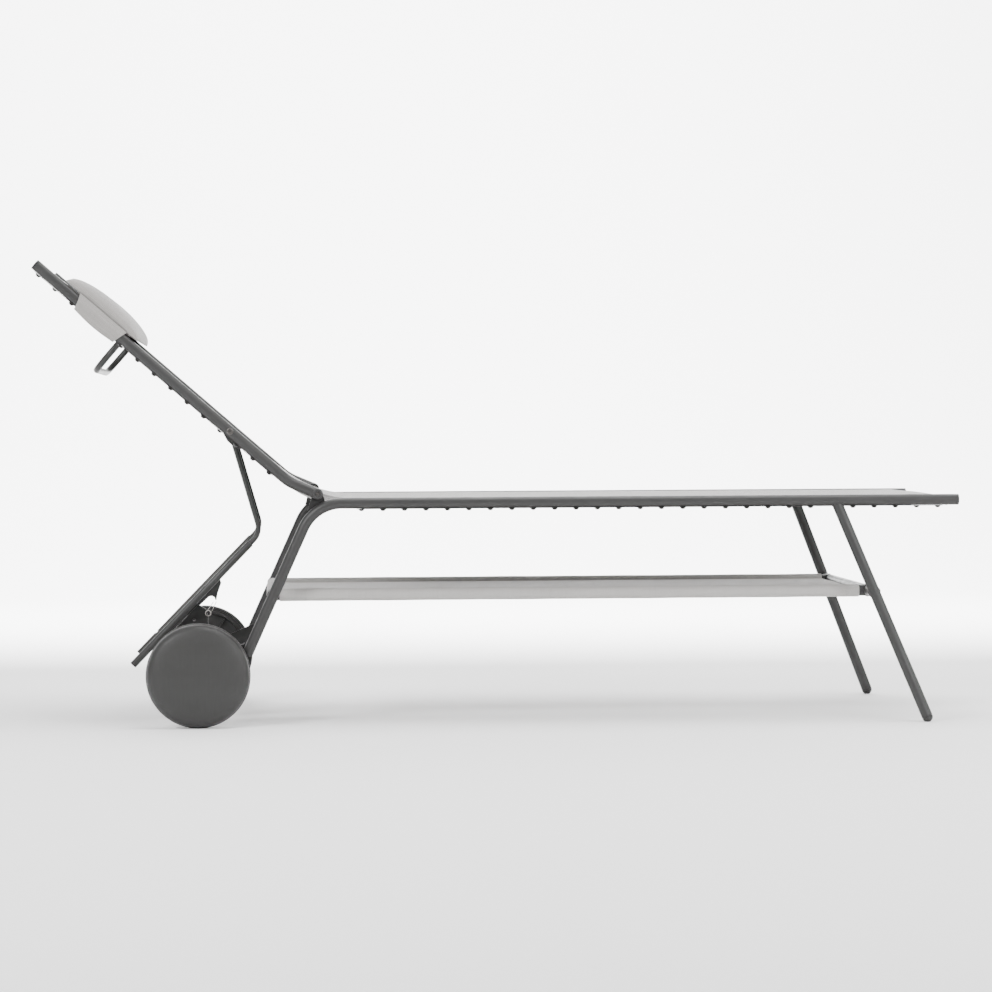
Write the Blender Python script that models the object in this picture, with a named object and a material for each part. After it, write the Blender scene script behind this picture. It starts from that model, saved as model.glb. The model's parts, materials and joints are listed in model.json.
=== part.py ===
"""Reclining sun lounger with two wheels, a textile sling, a head pillow and a fabric shelf.

Run with: blender --background --python part.py
Units are metres and +Z is up. The foot end points to +X, the head end and the wheels to -X.
The origin is on the floor, in the middle of the lounger's footprint.
"""
from math import atan, ceil, cos, hypot, pi, radians, sin, tan

import bmesh
import bpy
from mathutils import Matrix, Vector

# ------------------------------------------------------------------ driving dimensions
RAIL_HEIGHT = 0.444          # middle of the seat rails above the floor
RAIL_HALF_SPACING = 0.320    # middle plane to the middle of each rail
TUBE = 0.011                 # outer radius of the main tubes
WALL = 0.0015                # wall of every tube
GAP = 0.0003                 # clearance between touching pieces

HINGE_TO_FOOT_END = 1.294
HINGE_RISE = 0.019           # hinge axis above the rails, so that the lowered back lies level
RECLINE = radians(41)        # back above the horizontal at rest
BACK_LENGTH = 0.725          # hinge axis to the top end, along the back
KINK_ANGLE = radians(18)     # the short bent stretch beside the hinge

LEG_SLOPE = radians(65.7)    # rear leg above the horizontal
LEG_BEND = 0.085             # bend radius between rail and rear leg
LEG_CORNER = -0.0065         # where rail and leg would cross, from the hinge
LEG_END_HEIGHT = 0.142

FRONT_LEG_START = 1.049      # front leg at the rail, from the hinge
FRONT_LEG_LEAN = 0.400       # forward travel for each metre down
FRONT_LEG_SPLAY = 0.068      # sideways travel from rail to floor

SHELF_HEIGHT = 0.2588        # middle of the shelf tubes
SHELF_HALF_WIDTH = 0.262

WHEEL_RADIUS = 0.104
WHEEL_PLANE = 0.372          # middle plane to the middle of each wheel
AXLE_FROM_HINGE = -0.2397
AXLE_ROD = 0.006
AXLE_TUBE = 0.010
AXLE_HEAD = 0.012

PROP_PIVOT_ALONG = 0.198     # prop pivot along the back, and its depth under the hinge line
PROP_PIVOT_DEPTH = -0.030
PROP_PLANE = 0.190
PROP_ROD = 0.0055
PROP_SLIDE = 0.00725
PROP_ELBOW = (-0.1149, -0.0802)   # from the hinge axis
PROP_END = (-0.3753, -0.3481)

SLIDE_START = 0.030          # slide tube on the prop's lower bar, from the elbow
SLIDE_CAP = 0.002            # rod short of the open end of its slide tube
NOTCHES = (0.212, 0.252, 0.297)
NOTCH_WIDTH = 0.007

LATCH_PLATE = -0.170         # lower Y of the latch bracket's plate
LATCH_THICKNESS = 0.005
LATCH_HOOK = -0.1645         # lower Y of the hook's plate
HOOK_THICKNESS = 0.004
LATCH_PIN_ALONG = 0.2225     # latch pin beside the prop's lower bar at rest
LATCH_PIN_OFF = 0.0267
LATCH_PIN = 0.003
SPRING_WIRE = 0.0008
SPRING_COIL = 0.0055
SPRING_TURNS = 2.5

HANDLE = 0.0065
HANDLE_ALONG = 0.499         # from the hinge, along the back
HANDLE_HALF = 0.256
HANDLE_TOP_DEPTH = -0.0225
HANDLE_LOW_DEPTH = -0.101
HANDLE_TOP_BEND = 0.020
HANDLE_LOW_BEND = 0.045

TOP_BAR = 0.008              # bar in the upper hem of the sling
TOP_BAR_INSET = 0.030
TOP_BAR_DEPTH = -0.0210
FOOT_BAR = 0.008             # bar in the lower hem of the sling
FOOT_BAR_INSET = 0.024
FOOT_BAR_DROP = 0.0020

SLING_EDGE = 0.3055          # half width of the sling between the rails
SLING_THICKNESS = 0.0025
SEAT_SAG = 0.020
BACK_SAG = 0.009
SEAT_EDGE = 0.004            # sling edge above the middle of the seat rails
BACK_EDGE = -0.0085          # sling edge above the hinge line of the back
SHELF_SKIN = 0.0013

PILLOW_START = 0.467         # lower edge, from the hinge along the back
PILLOW_LENGTH = 0.198
PILLOW_HALF_WIDTH = 0.328
PILLOW_BASE = -0.0075        # underside and crown above the hinge line of the back
PILLOW_CROWN = 0.033

STUD_STRIP = 0.0008
STUD_STRIP_WIDTH = 0.008
STUD_RADIUS = 0.0062
STUD_HEIGHT = 0.0048
STUD_PITCH = 0.0431
SEAT_STUDS = 28
BACK_STUDS = 15
FIRST_SEAT_STUD = 0.0427     # from the foot end
FIRST_BACK_STUD = 0.020      # from the top end

PLUG_HEAD = 0.003
PLUG_CHAMFER = 0.0015
PLUG_DEPTH = 0.016           # how far a plug's spigot reaches into its tube
FOOT_STEM = 0.022
FOOT_FLAT = 0.001            # how far the dome of a glide is worn flat on the floor

HINGE_BOLT = 0.004
HINGE_NUT = 0.0075
HINGE_NUT_HEIGHT = 0.005
LUG_THICKNESS = 0.005
LUG_SPACE = 0.0005           # between a lug plate and its rail
LUG_SCREW = 0.003
LUG_SCREW_ALONG = 0.214
LUG_SCREW_HEAD = 0.007
LUG_SCREW_RISE = 0.0022
LUG_NUT = 0.0055
LUG_NUT_HEIGHT = 0.003
PROP_BOLT = 0.003
PROP_TOP = 0.006
PROP_LUG_LOW = -0.0375

HUB_INNER = 0.0225           # hub reach towards the frame, from the wheel's middle plane
HUB_OUTER = 0.010
RIM = 0.0975
COVER_FACE = 0.0265          # outer face of a wheel's cover, from the wheel's middle plane
COVER_CROWN = 0.002
COVER_SHOULDER = 0.020
COVER_THICKNESS = 0.0025

SIDES = 12                   # facets round a main tube
STEP = radians(13)           # turn between two rings of a bend

LEFT = -1                    # the side at -Y
RIGHT = 1
SIDE_NAMES = {LEFT: "left", RIGHT: "right"}

# ------------------------------------------------------------------ derived places
BACK_REACH = BACK_LENGTH * cos(RECLINE) + (HINGE_RISE + TUBE - PLUG_CHAMFER) * sin(RECLINE)
HINGE_X = (BACK_REACH - HINGE_TO_FOOT_END) / 2
HINGE_Z = RAIL_HEIGHT + HINGE_RISE
FOOT_END_X = HINGE_X + HINGE_TO_FOOT_END
AXLE_X = HINGE_X + AXLE_FROM_HINGE
INNER_FACE = RAIL_HALF_SPACING - TUBE
LUG_INSIDE = INNER_FACE - LUG_SPACE - LUG_THICKNESS
SLIDE_LENGTH = hypot(PROP_END[0] - PROP_ELBOW[0], PROP_END[1] - PROP_ELBOW[1])
ACROSS = Vector((0, 0.02, 0))    # reach of a bore's cutter to each side of a plate


def back_point(along, depth, y):
    """A point given along the back from the hinge, and above its line."""
    x = HINGE_X - along * cos(RECLINE) + depth * sin(RECLINE)
    z = HINGE_Z + along * sin(RECLINE) + depth * cos(RECLINE)
    return Vector((x, y, z))


def hinge_point(offset, y):
    """A point given by its offset from the hinge axis in X and Z."""
    return Vector((HINGE_X + offset[0], y, HINGE_Z + offset[1]))


def slide_point(along, off, y):
    """A point given along the prop's lower bar from its elbow, and off its lower right side."""
    start = hinge_point(PROP_ELBOW, y)
    run = (hinge_point(PROP_END, y) - start).normalized()
    return start + run * along + Vector((-run.z, 0, run.x)) * off


def leg_x(height):
    """X of the rear leg's middle line at a height."""
    return HINGE_X + LEG_CORNER - (RAIL_HEIGHT - height) / tan(LEG_SLOPE)


def front_leg_point(height, side):
    """Middle of a front leg at a height."""
    drop = RAIL_HEIGHT - TUBE - height
    x = HINGE_X + FRONT_LEG_START + drop * FRONT_LEG_LEAN
    y = RAIL_HALF_SPACING + FRONT_LEG_SPLAY * drop / (RAIL_HEIGHT - TUBE)
    return Vector((x, side * y, height))


# ------------------------------------------------------------------ materials
FINISHES = {
    "frame_paint": ((0.125, 0.125, 0.120), 0.45, 0.6),
    "fitting_paint": ((0.060, 0.060, 0.058), 0.50, 0.5),
    "wheel_plastic": ((0.095, 0.095, 0.092), 0.55, 0.0),
    "tyre_rubber": ((0.020, 0.020, 0.020), 0.80, 0.0),
    "plug_plastic": ((0.070, 0.070, 0.068), 0.60, 0.0),
    "stud_plastic": ((0.035, 0.035, 0.035), 0.50, 0.0),
    "bolt_steel": ((0.300, 0.270, 0.240), 0.35, 1.0),
    "spring_steel": ((0.450, 0.450, 0.440), 0.30, 1.0),
    "sling_fabric": ((0.560, 0.550, 0.530), 0.90, 0.0),
    "shelf_fabric": ((0.540, 0.525, 0.500), 0.90, 0.0),
    "pillow_fabric": ((0.520, 0.510, 0.495), 0.90, 0.0),
}


def finish(name):
    """The material of that name, made on first use."""
    found = bpy.data.materials.get(name)
    if found:
        return found
    colour, roughness, metallic = FINISHES[name]
    made = bpy.data.materials.new(name)
    made.use_nodes = True
    shader = made.node_tree.nodes["Principled BSDF"]
    shader.inputs["Base Color"].default_value = (*colour, 1)
    shader.inputs["Roughness"].default_value = roughness
    shader.inputs["Metallic"].default_value = metallic
    return made


# ------------------------------------------------------------------ mesh helpers
def put(name, bm, material, parent=None):
    """Make an object of a bmesh, smooth where it is round, and hang it on its parent."""
    bmesh.ops.recalc_face_normals(bm, faces=bm.faces)
    mesh = bpy.data.meshes.new(name)
    bm.to_mesh(mesh)
    bm.free()
    mesh.shade_smooth()
    mesh.set_sharp_from_angle(angle=radians(35))
    obj = bpy.data.objects.new(name, mesh)
    bpy.context.scene.collection.objects.link(obj)
    if material:
        mesh.materials.append(finish(material))
    if parent:
        obj.parent = parent
        obj.matrix_parent_inverse = parent.matrix_world.inverted()
    return obj


def pivot(name, place):
    """An empty on a joint's axis, which carries the pieces that turn with it."""
    empty = bpy.data.objects.new(name, None)
    empty.location = place
    bpy.context.scene.collection.objects.link(empty)
    bpy.context.view_layer.update()
    return empty


def rounded_path(corners, radii, step=STEP):
    """The corners' polyline with each inner corner turned into an arc of its own radius."""
    if not isinstance(radii, tuple):
        radii = (radii,) * (len(corners) - 2)
    path = [corners[0]]
    for before, corner, after, radius in zip(corners, corners[1:], corners[2:], radii):
        back = (before - corner).normalized()
        ahead = (after - corner).normalized()
        turn = pi - back.angle(ahead)
        reach = radius * tan(turn / 2)
        start = corner + back * reach
        axis = back.cross(ahead).normalized()
        toward = (back + ahead).normalized()
        centre = corner + toward * radius / cos(turn / 2)
        count = max(2, ceil(turn / step))
        for i in range(count + 1):
            path.append(centre + Matrix.Rotation(-turn * i / count, 3, axis) @ (start - centre))
    path.append(corners[-1])
    return path


def ring(bm, centre, along, across, radius, sides):
    """A circle of vertices square to a direction."""
    other = along.cross(across).normalized()
    first = other.cross(along).normalized()
    angles = [2 * pi * i / sides for i in range(sides)]
    return [bm.verts.new(centre + (first * cos(a) + other * sin(a)) * radius) for a in angles]


def bridge(bm, one, two):
    """Faces between two rings of the same count."""
    for i in range(len(one)):
        j = (i + 1) % len(one)
        bm.faces.new((one[i], one[j], two[j], two[i]))


def directions(path):
    """The mean direction of travel at each point of a path."""
    steps = [(b - a).normalized() for a, b in zip(path, path[1:])]
    middle = [(a + b).normalized() for a, b in zip(steps, steps[1:])]
    return [steps[0]] + middle + [steps[-1]]


def swept(bm, path, radius, sides, across=None):
    """Rings of one radius along a path, joined to a sleeve. Returns the two end rings."""
    across = across or Vector((0, 0, 1))
    rings = []
    for point, along in zip(path, directions(path)):
        if abs(along.dot(across)) > 0.98:
            across = Vector((along.z, along.x, along.y))
        across = (across - along * across.dot(along)).normalized()
        rings.append(ring(bm, point, along, across, radius, sides))
    for one, two in zip(rings, rings[1:]):
        bridge(bm, one, two)
    return rings[0], rings[-1]


def tube(name, path, radius, material, parent=None, sides=SIDES):
    """An open hollow tube along a path."""
    bm = bmesh.new()
    outer = swept(bm, path, radius, sides)
    inner = swept(bm, path, radius - WALL, sides)
    for one, two in zip(outer, inner):
        bridge(bm, one, two)
    return put(name, bm, material, parent)


def rod(name, path, radius, material, parent=None, sides=10):
    """A solid bar along a path."""
    bm = bmesh.new()
    for end in swept(bm, path, radius, sides):
        bm.faces.new(end)
    return put(name, bm, material, parent)


def turned(name, profile, centre, axis, material, parent=None, sides=16, closed=True):
    """A profile of (radius, distance) turned round an axis. Radius 0 makes a pole."""
    bm = bmesh.new()
    along = Vector(axis).normalized()
    across = Vector((0, 0, 1)) if abs(along.z) < 0.9 else Vector((1, 0, 0))
    rings = []
    for radius, distance in profile:
        place = Vector(centre) + along * distance
        if radius == 0:
            rings.append([bm.verts.new(place)])
        else:
            rings.append(ring(bm, place, along, across, radius, sides))
    pairs = list(zip(rings, rings[1:]))
    if closed:
        pairs.append((rings[-1], rings[0]))
    for one, two in pairs:
        if len(one) == 1 or len(two) == 1:
            pole, rim = (one[0], two) if len(one) == 1 else (two[0], one)
            for i in range(sides):
                bm.faces.new((pole, rim[i], rim[(i + 1) % sides]))
        else:
            bridge(bm, one, two)
    return put(name, bm, material, parent)


def plate(name, outline, thickness, material, parent=None):
    """A flat outline of points in a plane of one Y, thickened along +Y."""
    bm = bmesh.new()
    face = bm.faces.new([bm.verts.new(p) for p in outline])
    grown = bmesh.ops.extrude_face_region(bm, geom=[face])
    moved = [v for v in grown["geom"] if isinstance(v, bmesh.types.BMVert)]
    bmesh.ops.translate(bm, verts=moved, vec=Vector((0, thickness, 0)))
    return put(name, bm, material, parent)


def arc(centre, radius, start, end, count):
    """Points round a centre in the XZ plane, angles in degrees from +X towards +Z."""
    angles = [radians(start + (end - start) * i / count) for i in range(count + 1)]
    return [centre + Vector((cos(a), 0, sin(a))) * radius for a in angles]


def cut(obj, cutter):
    """Take a hidden cutter's volume out of an object."""
    cutter.hide_render = True
    cutter.display_type = "WIRE"
    boolean = obj.modifiers.new(cutter.name, "BOOLEAN")
    boolean.operation = "DIFFERENCE"
    boolean.solver = "EXACT"
    boolean.object = cutter


def cut_round(obj, start, end, radius, sides=16):
    """Bore or cope an object with a cylinder between two points."""
    name = f"{obj.name}_cutter_{len(obj.modifiers)}"
    cut(obj, rod(name, [Vector(start), Vector(end)], radius, None, sides=sides))


def cut_box(obj, low, high):
    """Cut an upright box out of an object."""
    bm = bmesh.new()
    bmesh.ops.create_cube(bm, size=1)
    size = Vector(high) - Vector(low)
    bmesh.ops.scale(bm, vec=size, verts=bm.verts)
    bmesh.ops.translate(bm, vec=(Vector(low) + Vector(high)) / 2, verts=bm.verts)
    cut(obj, put(f"{obj.name}_cutter_{len(obj.modifiers)}", bm, None))


def cope_to_rails(obj, z, x):
    """Round off a cross tube's ends where they meet the seat rails."""
    for side in (LEFT, RIGHT):
        y = side * RAIL_HALF_SPACING
        cut_round(obj, (x - 0.05, y, z), (x + 0.05, y, z), TUBE + GAP)


# ------------------------------------------------------------------ fixed frame
def end_plug(name, face, outward, parent=None):
    """A push-in plug: a chamfered head as wide as the tube, and a spigot inside it."""
    bore = TUBE - WALL - GAP
    profile = [
        (0, 0), (TUBE - PLUG_CHAMFER, 0), (TUBE, -PLUG_CHAMFER), (TUBE, -PLUG_HEAD),
        (bore, -PLUG_HEAD), (bore, -PLUG_DEPTH), (0, -PLUG_DEPTH),
    ]
    return turned(name, profile, face, outward, "plug_plastic", parent, SIDES, closed=False)


def side_frame(side):
    """Seat rail and rear leg, one bent tube, with its foot-end plug."""
    y = side * RAIL_HALF_SPACING
    corners = [
        Vector((FOOT_END_X - PLUG_HEAD - GAP, y, RAIL_HEIGHT)),
        Vector((HINGE_X + LEG_CORNER, y, RAIL_HEIGHT)),
        Vector((leg_x(LEG_END_HEIGHT), y, LEG_END_HEIGHT)),
    ]
    name = SIDE_NAMES[side]
    tube(f"side_frame_{name}", rounded_path(corners, LEG_BEND), TUBE, "frame_paint")
    end_plug(f"foot_end_plug_{name}", (FOOT_END_X, y, RAIL_HEIGHT), (1, 0, 0))


def front_leg(side):
    """Splayed front leg, coped to the rail, with its rounded glide."""
    name = SIDE_NAMES[side]
    end = front_leg_point(TUBE - FOOT_FLAT, side)
    top = front_leg_point(RAIL_HEIGHT - 0.004, side)
    down = (end - top).normalized()
    leg = tube(f"front_leg_{name}", [top, end - down * GAP], TUBE, "frame_paint")
    y = side * RAIL_HALF_SPACING
    cut_round(leg, (top.x - 0.06, y, RAIL_HEIGHT), (top.x + 0.06, y, RAIL_HEIGHT), TUBE + GAP)
    half = STUD_STRIP_WIDTH / 2 + 2 * GAP
    low = RAIL_HEIGHT - TUBE - STUD_HEIGHT - 3 * GAP
    cut_box(leg, (top.x - 0.05, y - half, low), (top.x + 0.05, y + half, RAIL_HEIGHT))
    foot_glide(f"foot_glide_{name}", end, down)


def foot_glide(name, end, down):
    """A half-round glide with a stem in the leg, flat where it stands on the floor."""
    bore = TUBE - WALL - GAP
    dome = [(TUBE * cos(radians(a)), TUBE * sin(radians(a))) for a in range(0, 90, 22)]
    profile = [(0, TUBE)] + dome[::-1] + [(bore, 0), (bore, -FOOT_STEM), (0, -FOOT_STEM)]
    glide = turned(name, profile, end, down, "plug_plastic", None, SIDES, closed=False)
    bm = bmesh.new()
    bm.from_mesh(glide.data)
    geom = bm.verts[:] + bm.edges[:] + bm.faces[:]
    sliced = bmesh.ops.bisect_plane(
        bm, geom=geom, plane_co=(0, 0, 0), plane_no=(0, 0, -1), clear_outer=True)
    rim = [e for e in sliced["geom_cut"] if isinstance(e, bmesh.types.BMEdge)]
    bmesh.ops.contextual_create(bm, geom=rim)
    bmesh.ops.recalc_face_normals(bm, faces=bm.faces)
    bm.to_mesh(glide.data)
    bm.free()


def cross_tubes():
    """The tubes across the frame: between front legs, between rear legs and at the foot end."""
    front = front_leg_point(SHELF_HEIGHT, RIGHT)
    across = [Vector((front.x, -front.y, SHELF_HEIGHT)), Vector((front.x, front.y, SHELF_HEIGHT))]
    bar = tube("front_crossbar", across, TUBE, "frame_paint")
    for side in (LEFT, RIGHT):
        start = front_leg_point(SHELF_HEIGHT + 0.05, side)
        end = front_leg_point(SHELF_HEIGHT - 0.05, side)
        cut_round(bar, start, end, TUBE + GAP)

    x = leg_x(SHELF_HEIGHT)
    y = RAIL_HALF_SPACING
    bar = tube("rear_crossbar", [Vector((x, -y, SHELF_HEIGHT)), Vector((x, y, SHELF_HEIGHT))],
               TUBE, "frame_paint")
    for side in (LEFT, RIGHT):
        start = (leg_x(SHELF_HEIGHT + 0.05), side * y, SHELF_HEIGHT + 0.05)
        end = (leg_x(SHELF_HEIGHT - 0.05), side * y, SHELF_HEIGHT - 0.05)
        cut_round(bar, start, end, TUBE + GAP)

    x = FOOT_END_X - FOOT_BAR_INSET
    z = RAIL_HEIGHT - FOOT_BAR_DROP
    ends = [Vector((x, -RAIL_HALF_SPACING, z)), Vector((x, RAIL_HALF_SPACING, z))]
    bar = tube("foot_crossbar", ends, FOOT_BAR, "frame_paint", sides=12)
    cope_to_rails(bar, RAIL_HEIGHT, x)


def shelf_tube(side):
    """A side tube of the shelf, coped to the front and rear crossbars."""
    y = side * SHELF_HALF_WIDTH
    front = front_leg_point(SHELF_HEIGHT, RIGHT).x
    rear = leg_x(SHELF_HEIGHT)
    ends = [Vector((rear, y, SHELF_HEIGHT)), Vector((front, y, SHELF_HEIGHT))]
    bar = tube(f"shelf_tube_{SIDE_NAMES[side]}", ends, TUBE, "frame_paint")
    for x in (rear, front):
        cut_round(bar, (x, y - 0.03, SHELF_HEIGHT), (x, y + 0.03, SHELF_HEIGHT), TUBE + GAP)


# ------------------------------------------------------------------ back hinge
def plate_start(side, clear, thickness):
    """Lower Y of a plate that stands a clear distance inside a rail's inner face."""
    near = INNER_FACE - clear
    return near - thickness if side == RIGHT else -near


def hinge_lug(side):
    """Plate on the rail's inner side that carries the back's hinge bolt."""
    y = plate_start(side, LUG_SPACE, LUG_THICKNESS)
    hinge = Vector((HINGE_X, y, HINGE_Z))
    outline = arc(hinge, TUBE, -10, 190, 8)
    outline.append(Vector((HINGE_X - 0.020, y, RAIL_HEIGHT - 0.016)))
    outline.append(Vector((HINGE_X + 0.018, y, RAIL_HEIGHT - 0.006)))
    lug = plate(f"hinge_lug_{SIDE_NAMES[side]}", outline, LUG_THICKNESS, "fitting_paint")
    cut_round(lug, (HINGE_X, y - 0.01, HINGE_Z), (HINGE_X, y + 0.015, HINGE_Z),
              HINGE_BOLT + GAP, 16)


def hinge_bolt(side):
    """Bolt through knuckle and lug, with its nut on the inside."""
    outer = RAIL_HALF_SPACING + TUBE - 0.001
    nut_face = LUG_INSIDE - GAP
    nut_end = nut_face - HINGE_NUT_HEIGHT
    profile = [(0, outer), (HINGE_BOLT, outer), (HINGE_BOLT, nut_face), (HINGE_NUT, nut_face),
               (HINGE_NUT, nut_end), (0, nut_end)]
    turned(f"hinge_bolt_{SIDE_NAMES[side]}", profile, (HINGE_X, 0, HINGE_Z), (0, side, 0),
           "bolt_steel", None, 12, closed=False)


# ------------------------------------------------------------------ back frame
def back_tube(side, parent):
    """Back rail with its short kinked stretch, coped to the hinge knuckle, and its top plug."""
    y = side * RAIL_HALF_SPACING
    kink = HINGE_RISE / tan(KINK_ANGLE)
    face = back_point(BACK_LENGTH, -HINGE_RISE, y)
    up = back_point(1, 0, y) - back_point(0, 0, y)
    corners = [
        back_point(0, 0, y),
        back_point(kink, -HINGE_RISE, y),
        face - up * (PLUG_HEAD + GAP),
    ]
    name = SIDE_NAMES[side]
    rail = tube(f"back_rail_{name}", rounded_path(corners, 0.10, radians(9)), TUBE,
                "frame_paint", parent)
    cut_round(rail, (HINGE_X, y - 0.03, HINGE_Z), (HINGE_X, y + 0.03, HINGE_Z), TUBE + GAP)
    screw = back_point(LUG_SCREW_ALONG, -HINGE_RISE, 0)
    cut_round(rail, (screw.x, y - 0.03, screw.z), (screw.x, y + 0.03, screw.z),
              LUG_SCREW + GAP, 12)
    end_plug(f"back_end_plug_{name}", face, up, parent)


def back_knuckle(side, parent):
    """Solid round end of the back rail, bored for the hinge bolt."""
    inner = INNER_FACE
    outer = RAIL_HALF_SPACING + TUBE
    bore = HINGE_BOLT + GAP
    soft = 0.002
    profile = [(bore, inner), (TUBE - soft, inner), (TUBE, inner + soft),
               (TUBE, outer - soft), (TUBE - soft, outer), (bore, outer)]
    turned(f"back_knuckle_{SIDE_NAMES[side]}", profile, (HINGE_X, 0, HINGE_Z), (0, side, 0),
           "frame_paint", parent)


def back_top_crossbar(parent):
    """The bar across the top of the back, inside the sling's hem."""
    ends = [back_point(BACK_LENGTH - TOP_BAR_INSET, TOP_BAR_DEPTH, side * RAIL_HALF_SPACING)
            for side in (LEFT, RIGHT)]
    bar = tube("back_top_crossbar", ends, TOP_BAR, "frame_paint", parent, 12)
    cope_to_back(bar, BACK_LENGTH - TOP_BAR_INSET)


def cope_to_back(obj, along):
    """Round off a piece's ends where they meet the back rails."""
    for side in (LEFT, RIGHT):
        y = side * RAIL_HALF_SPACING
        start = back_point(along - 0.04, -HINGE_RISE, y)
        end = back_point(along + 0.04, -HINGE_RISE, y)
        cut_round(obj, start, end, TUBE + GAP)


def handle_bar(parent):
    """Push bar: out of one rail, down behind the back, across, and up into the other rail."""
    shape = [
        (-RAIL_HALF_SPACING, HANDLE_TOP_DEPTH), (-HANDLE_HALF, HANDLE_TOP_DEPTH),
        (-HANDLE_HALF, HANDLE_LOW_DEPTH), (HANDLE_HALF, HANDLE_LOW_DEPTH),
        (HANDLE_HALF, HANDLE_TOP_DEPTH), (RAIL_HALF_SPACING, HANDLE_TOP_DEPTH),
    ]
    corners = [back_point(HANDLE_ALONG, depth, y) for y, depth in shape]
    bends = (HANDLE_TOP_BEND, HANDLE_LOW_BEND, HANDLE_LOW_BEND, HANDLE_TOP_BEND)
    bar = tube("handle_bar", rounded_path(corners, bends, radians(23)), HANDLE,
               "frame_paint", parent, 10)
    cope_to_back(bar, HANDLE_ALONG)


# ------------------------------------------------------------------ prop and its lugs
def prop_lug(side, parent):
    """Plate inside the back rail that carries the prop's pivot bolt."""
    y = plate_start(side, LUG_SPACE, LUG_THICKNESS)
    shape = [(0.226, -0.014), (0.228, -0.022), (0.220, -0.032), (0.205, PROP_LUG_LOW),
             (0.188, PROP_LUG_LOW), (0.176, -0.033), (0.168, -0.026), (0.170, -0.014)]
    outline = [back_point(along, depth, y) for along, depth in shape]
    name = f"prop_lug_{SIDE_NAMES[side]}"
    lug = plate(name, outline, LUG_THICKNESS, "frame_paint", parent)
    holes = ((LUG_SCREW_ALONG, -HINGE_RISE, LUG_SCREW),
             (PROP_PIVOT_ALONG, PROP_PIVOT_DEPTH, PROP_BOLT))
    for along, depth, radius in holes:
        place = back_point(along, depth, y)
        cut_round(lug, place - ACROSS, place + ACROSS, radius + GAP, 12)


def lug_screw(side, parent):
    """Screw through the back rail into the prop lug, with a low round head outside."""
    head = RAIL_HALF_SPACING + TUBE + GAP
    top = head + LUG_SCREW_RISE
    nut = LUG_INSIDE - GAP
    nut_end = nut - LUG_NUT_HEIGHT
    profile = [(0, top), (LUG_SCREW_HEAD - 0.002, top), (LUG_SCREW_HEAD, head + 0.0008),
               (LUG_SCREW_HEAD, head), (LUG_SCREW, head), (LUG_SCREW, nut), (LUG_NUT, nut),
               (LUG_NUT, nut_end), (0, nut_end)]
    place = back_point(LUG_SCREW_ALONG, -HINGE_RISE, 0)
    turned(f"prop_lug_screw_{SIDE_NAMES[side]}", profile, place, (0, side, 0),
           "bolt_steel", parent, 12, closed=False)


def prop_bolt(side, parent):
    """Pivot bolt from the lug into the end of the prop's top tube."""
    head = LUG_INSIDE + LUG_THICKNESS
    end = LUG_INSIDE - 0.020
    profile = [(0, head), (PROP_BOLT, head), (PROP_BOLT, end), (0, end)]
    place = back_point(PROP_PIVOT_ALONG, PROP_PIVOT_DEPTH, 0)
    turned(f"prop_bolt_{SIDE_NAMES[side]}", profile, place, (0, side, 0),
           "bolt_steel", parent, 12, closed=False)


def prop_top_tube(parent):
    """Tube between the lugs that the prop's arms are welded to."""
    reach = LUG_INSIDE - GAP
    ends = [back_point(PROP_PIVOT_ALONG, PROP_PIVOT_DEPTH, side * reach)
            for side in (LEFT, RIGHT)]
    tube("prop_top_tube", ends, PROP_TOP, "fitting_paint", parent, 16)


def prop_arm(side, parent):
    """Bent rod from the top tube, round the elbow, into the slide tube."""
    y = side * PROP_PLANE
    top = back_point(PROP_PIVOT_ALONG, PROP_PIVOT_DEPTH, y)
    corners = [top, hinge_point(PROP_ELBOW, y), slide_point(SLIDE_LENGTH - SLIDE_CAP, 0, y)]
    arm = rod(f"prop_arm_{SIDE_NAMES[side]}", rounded_path(corners, 0.035), PROP_ROD,
              "frame_paint", parent)
    cut_round(arm, top - ACROSS, top + ACROSS, PROP_TOP + GAP)


def prop_slide(side, parent):
    """Slide tube on the prop's lower bar. The right one has the latch's notches."""
    y = side * PROP_PLANE
    centre = slide_point(0, 0, y)
    run = (slide_point(1, 0, y) - centre).normalized()
    bore = PROP_ROD + GAP
    soft = 0.001
    profile = [(bore, SLIDE_START), (PROP_SLIDE - soft, SLIDE_START),
               (PROP_SLIDE, SLIDE_START + soft), (PROP_SLIDE, SLIDE_LENGTH - soft),
               (PROP_SLIDE - soft, SLIDE_LENGTH), (bore, SLIDE_LENGTH)]
    slide = turned(f"prop_slide_{SIDE_NAMES[side]}", profile, centre, run, "frame_paint",
                   parent, 16)
    if side == RIGHT:
        for notch in NOTCHES:
            away = slide_point(notch, -PROP_SLIDE, y)
            cut_round(slide, away - ACROSS, away + ACROSS, NOTCH_WIDTH / 2, 12)


# ------------------------------------------------------------------ axle, brackets and latch
def axle_parts():
    """Axle tube between the legs, and the steel rod through it with a flat head at each end."""
    reach = RAIL_HALF_SPACING + 0.018
    ends = [Vector((AXLE_X, side * reach, WHEEL_RADIUS)) for side in (LEFT, RIGHT)]
    tube("axle_tube", ends, AXLE_TUBE, "fitting_paint", sides=16)
    head = WHEEL_PLANE + HUB_OUTER + 0.001
    half = [(AXLE_ROD, head), (AXLE_HEAD, head), (AXLE_HEAD, head + 0.002), (0, head + 0.002)]
    other = [(radius, -distance) for radius, distance in half[::-1]]
    turned("axle_rod", other + half, (AXLE_X, 0, WHEEL_RADIUS), (0, 1, 0), "bolt_steel",
           None, 16, closed=False)


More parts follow.
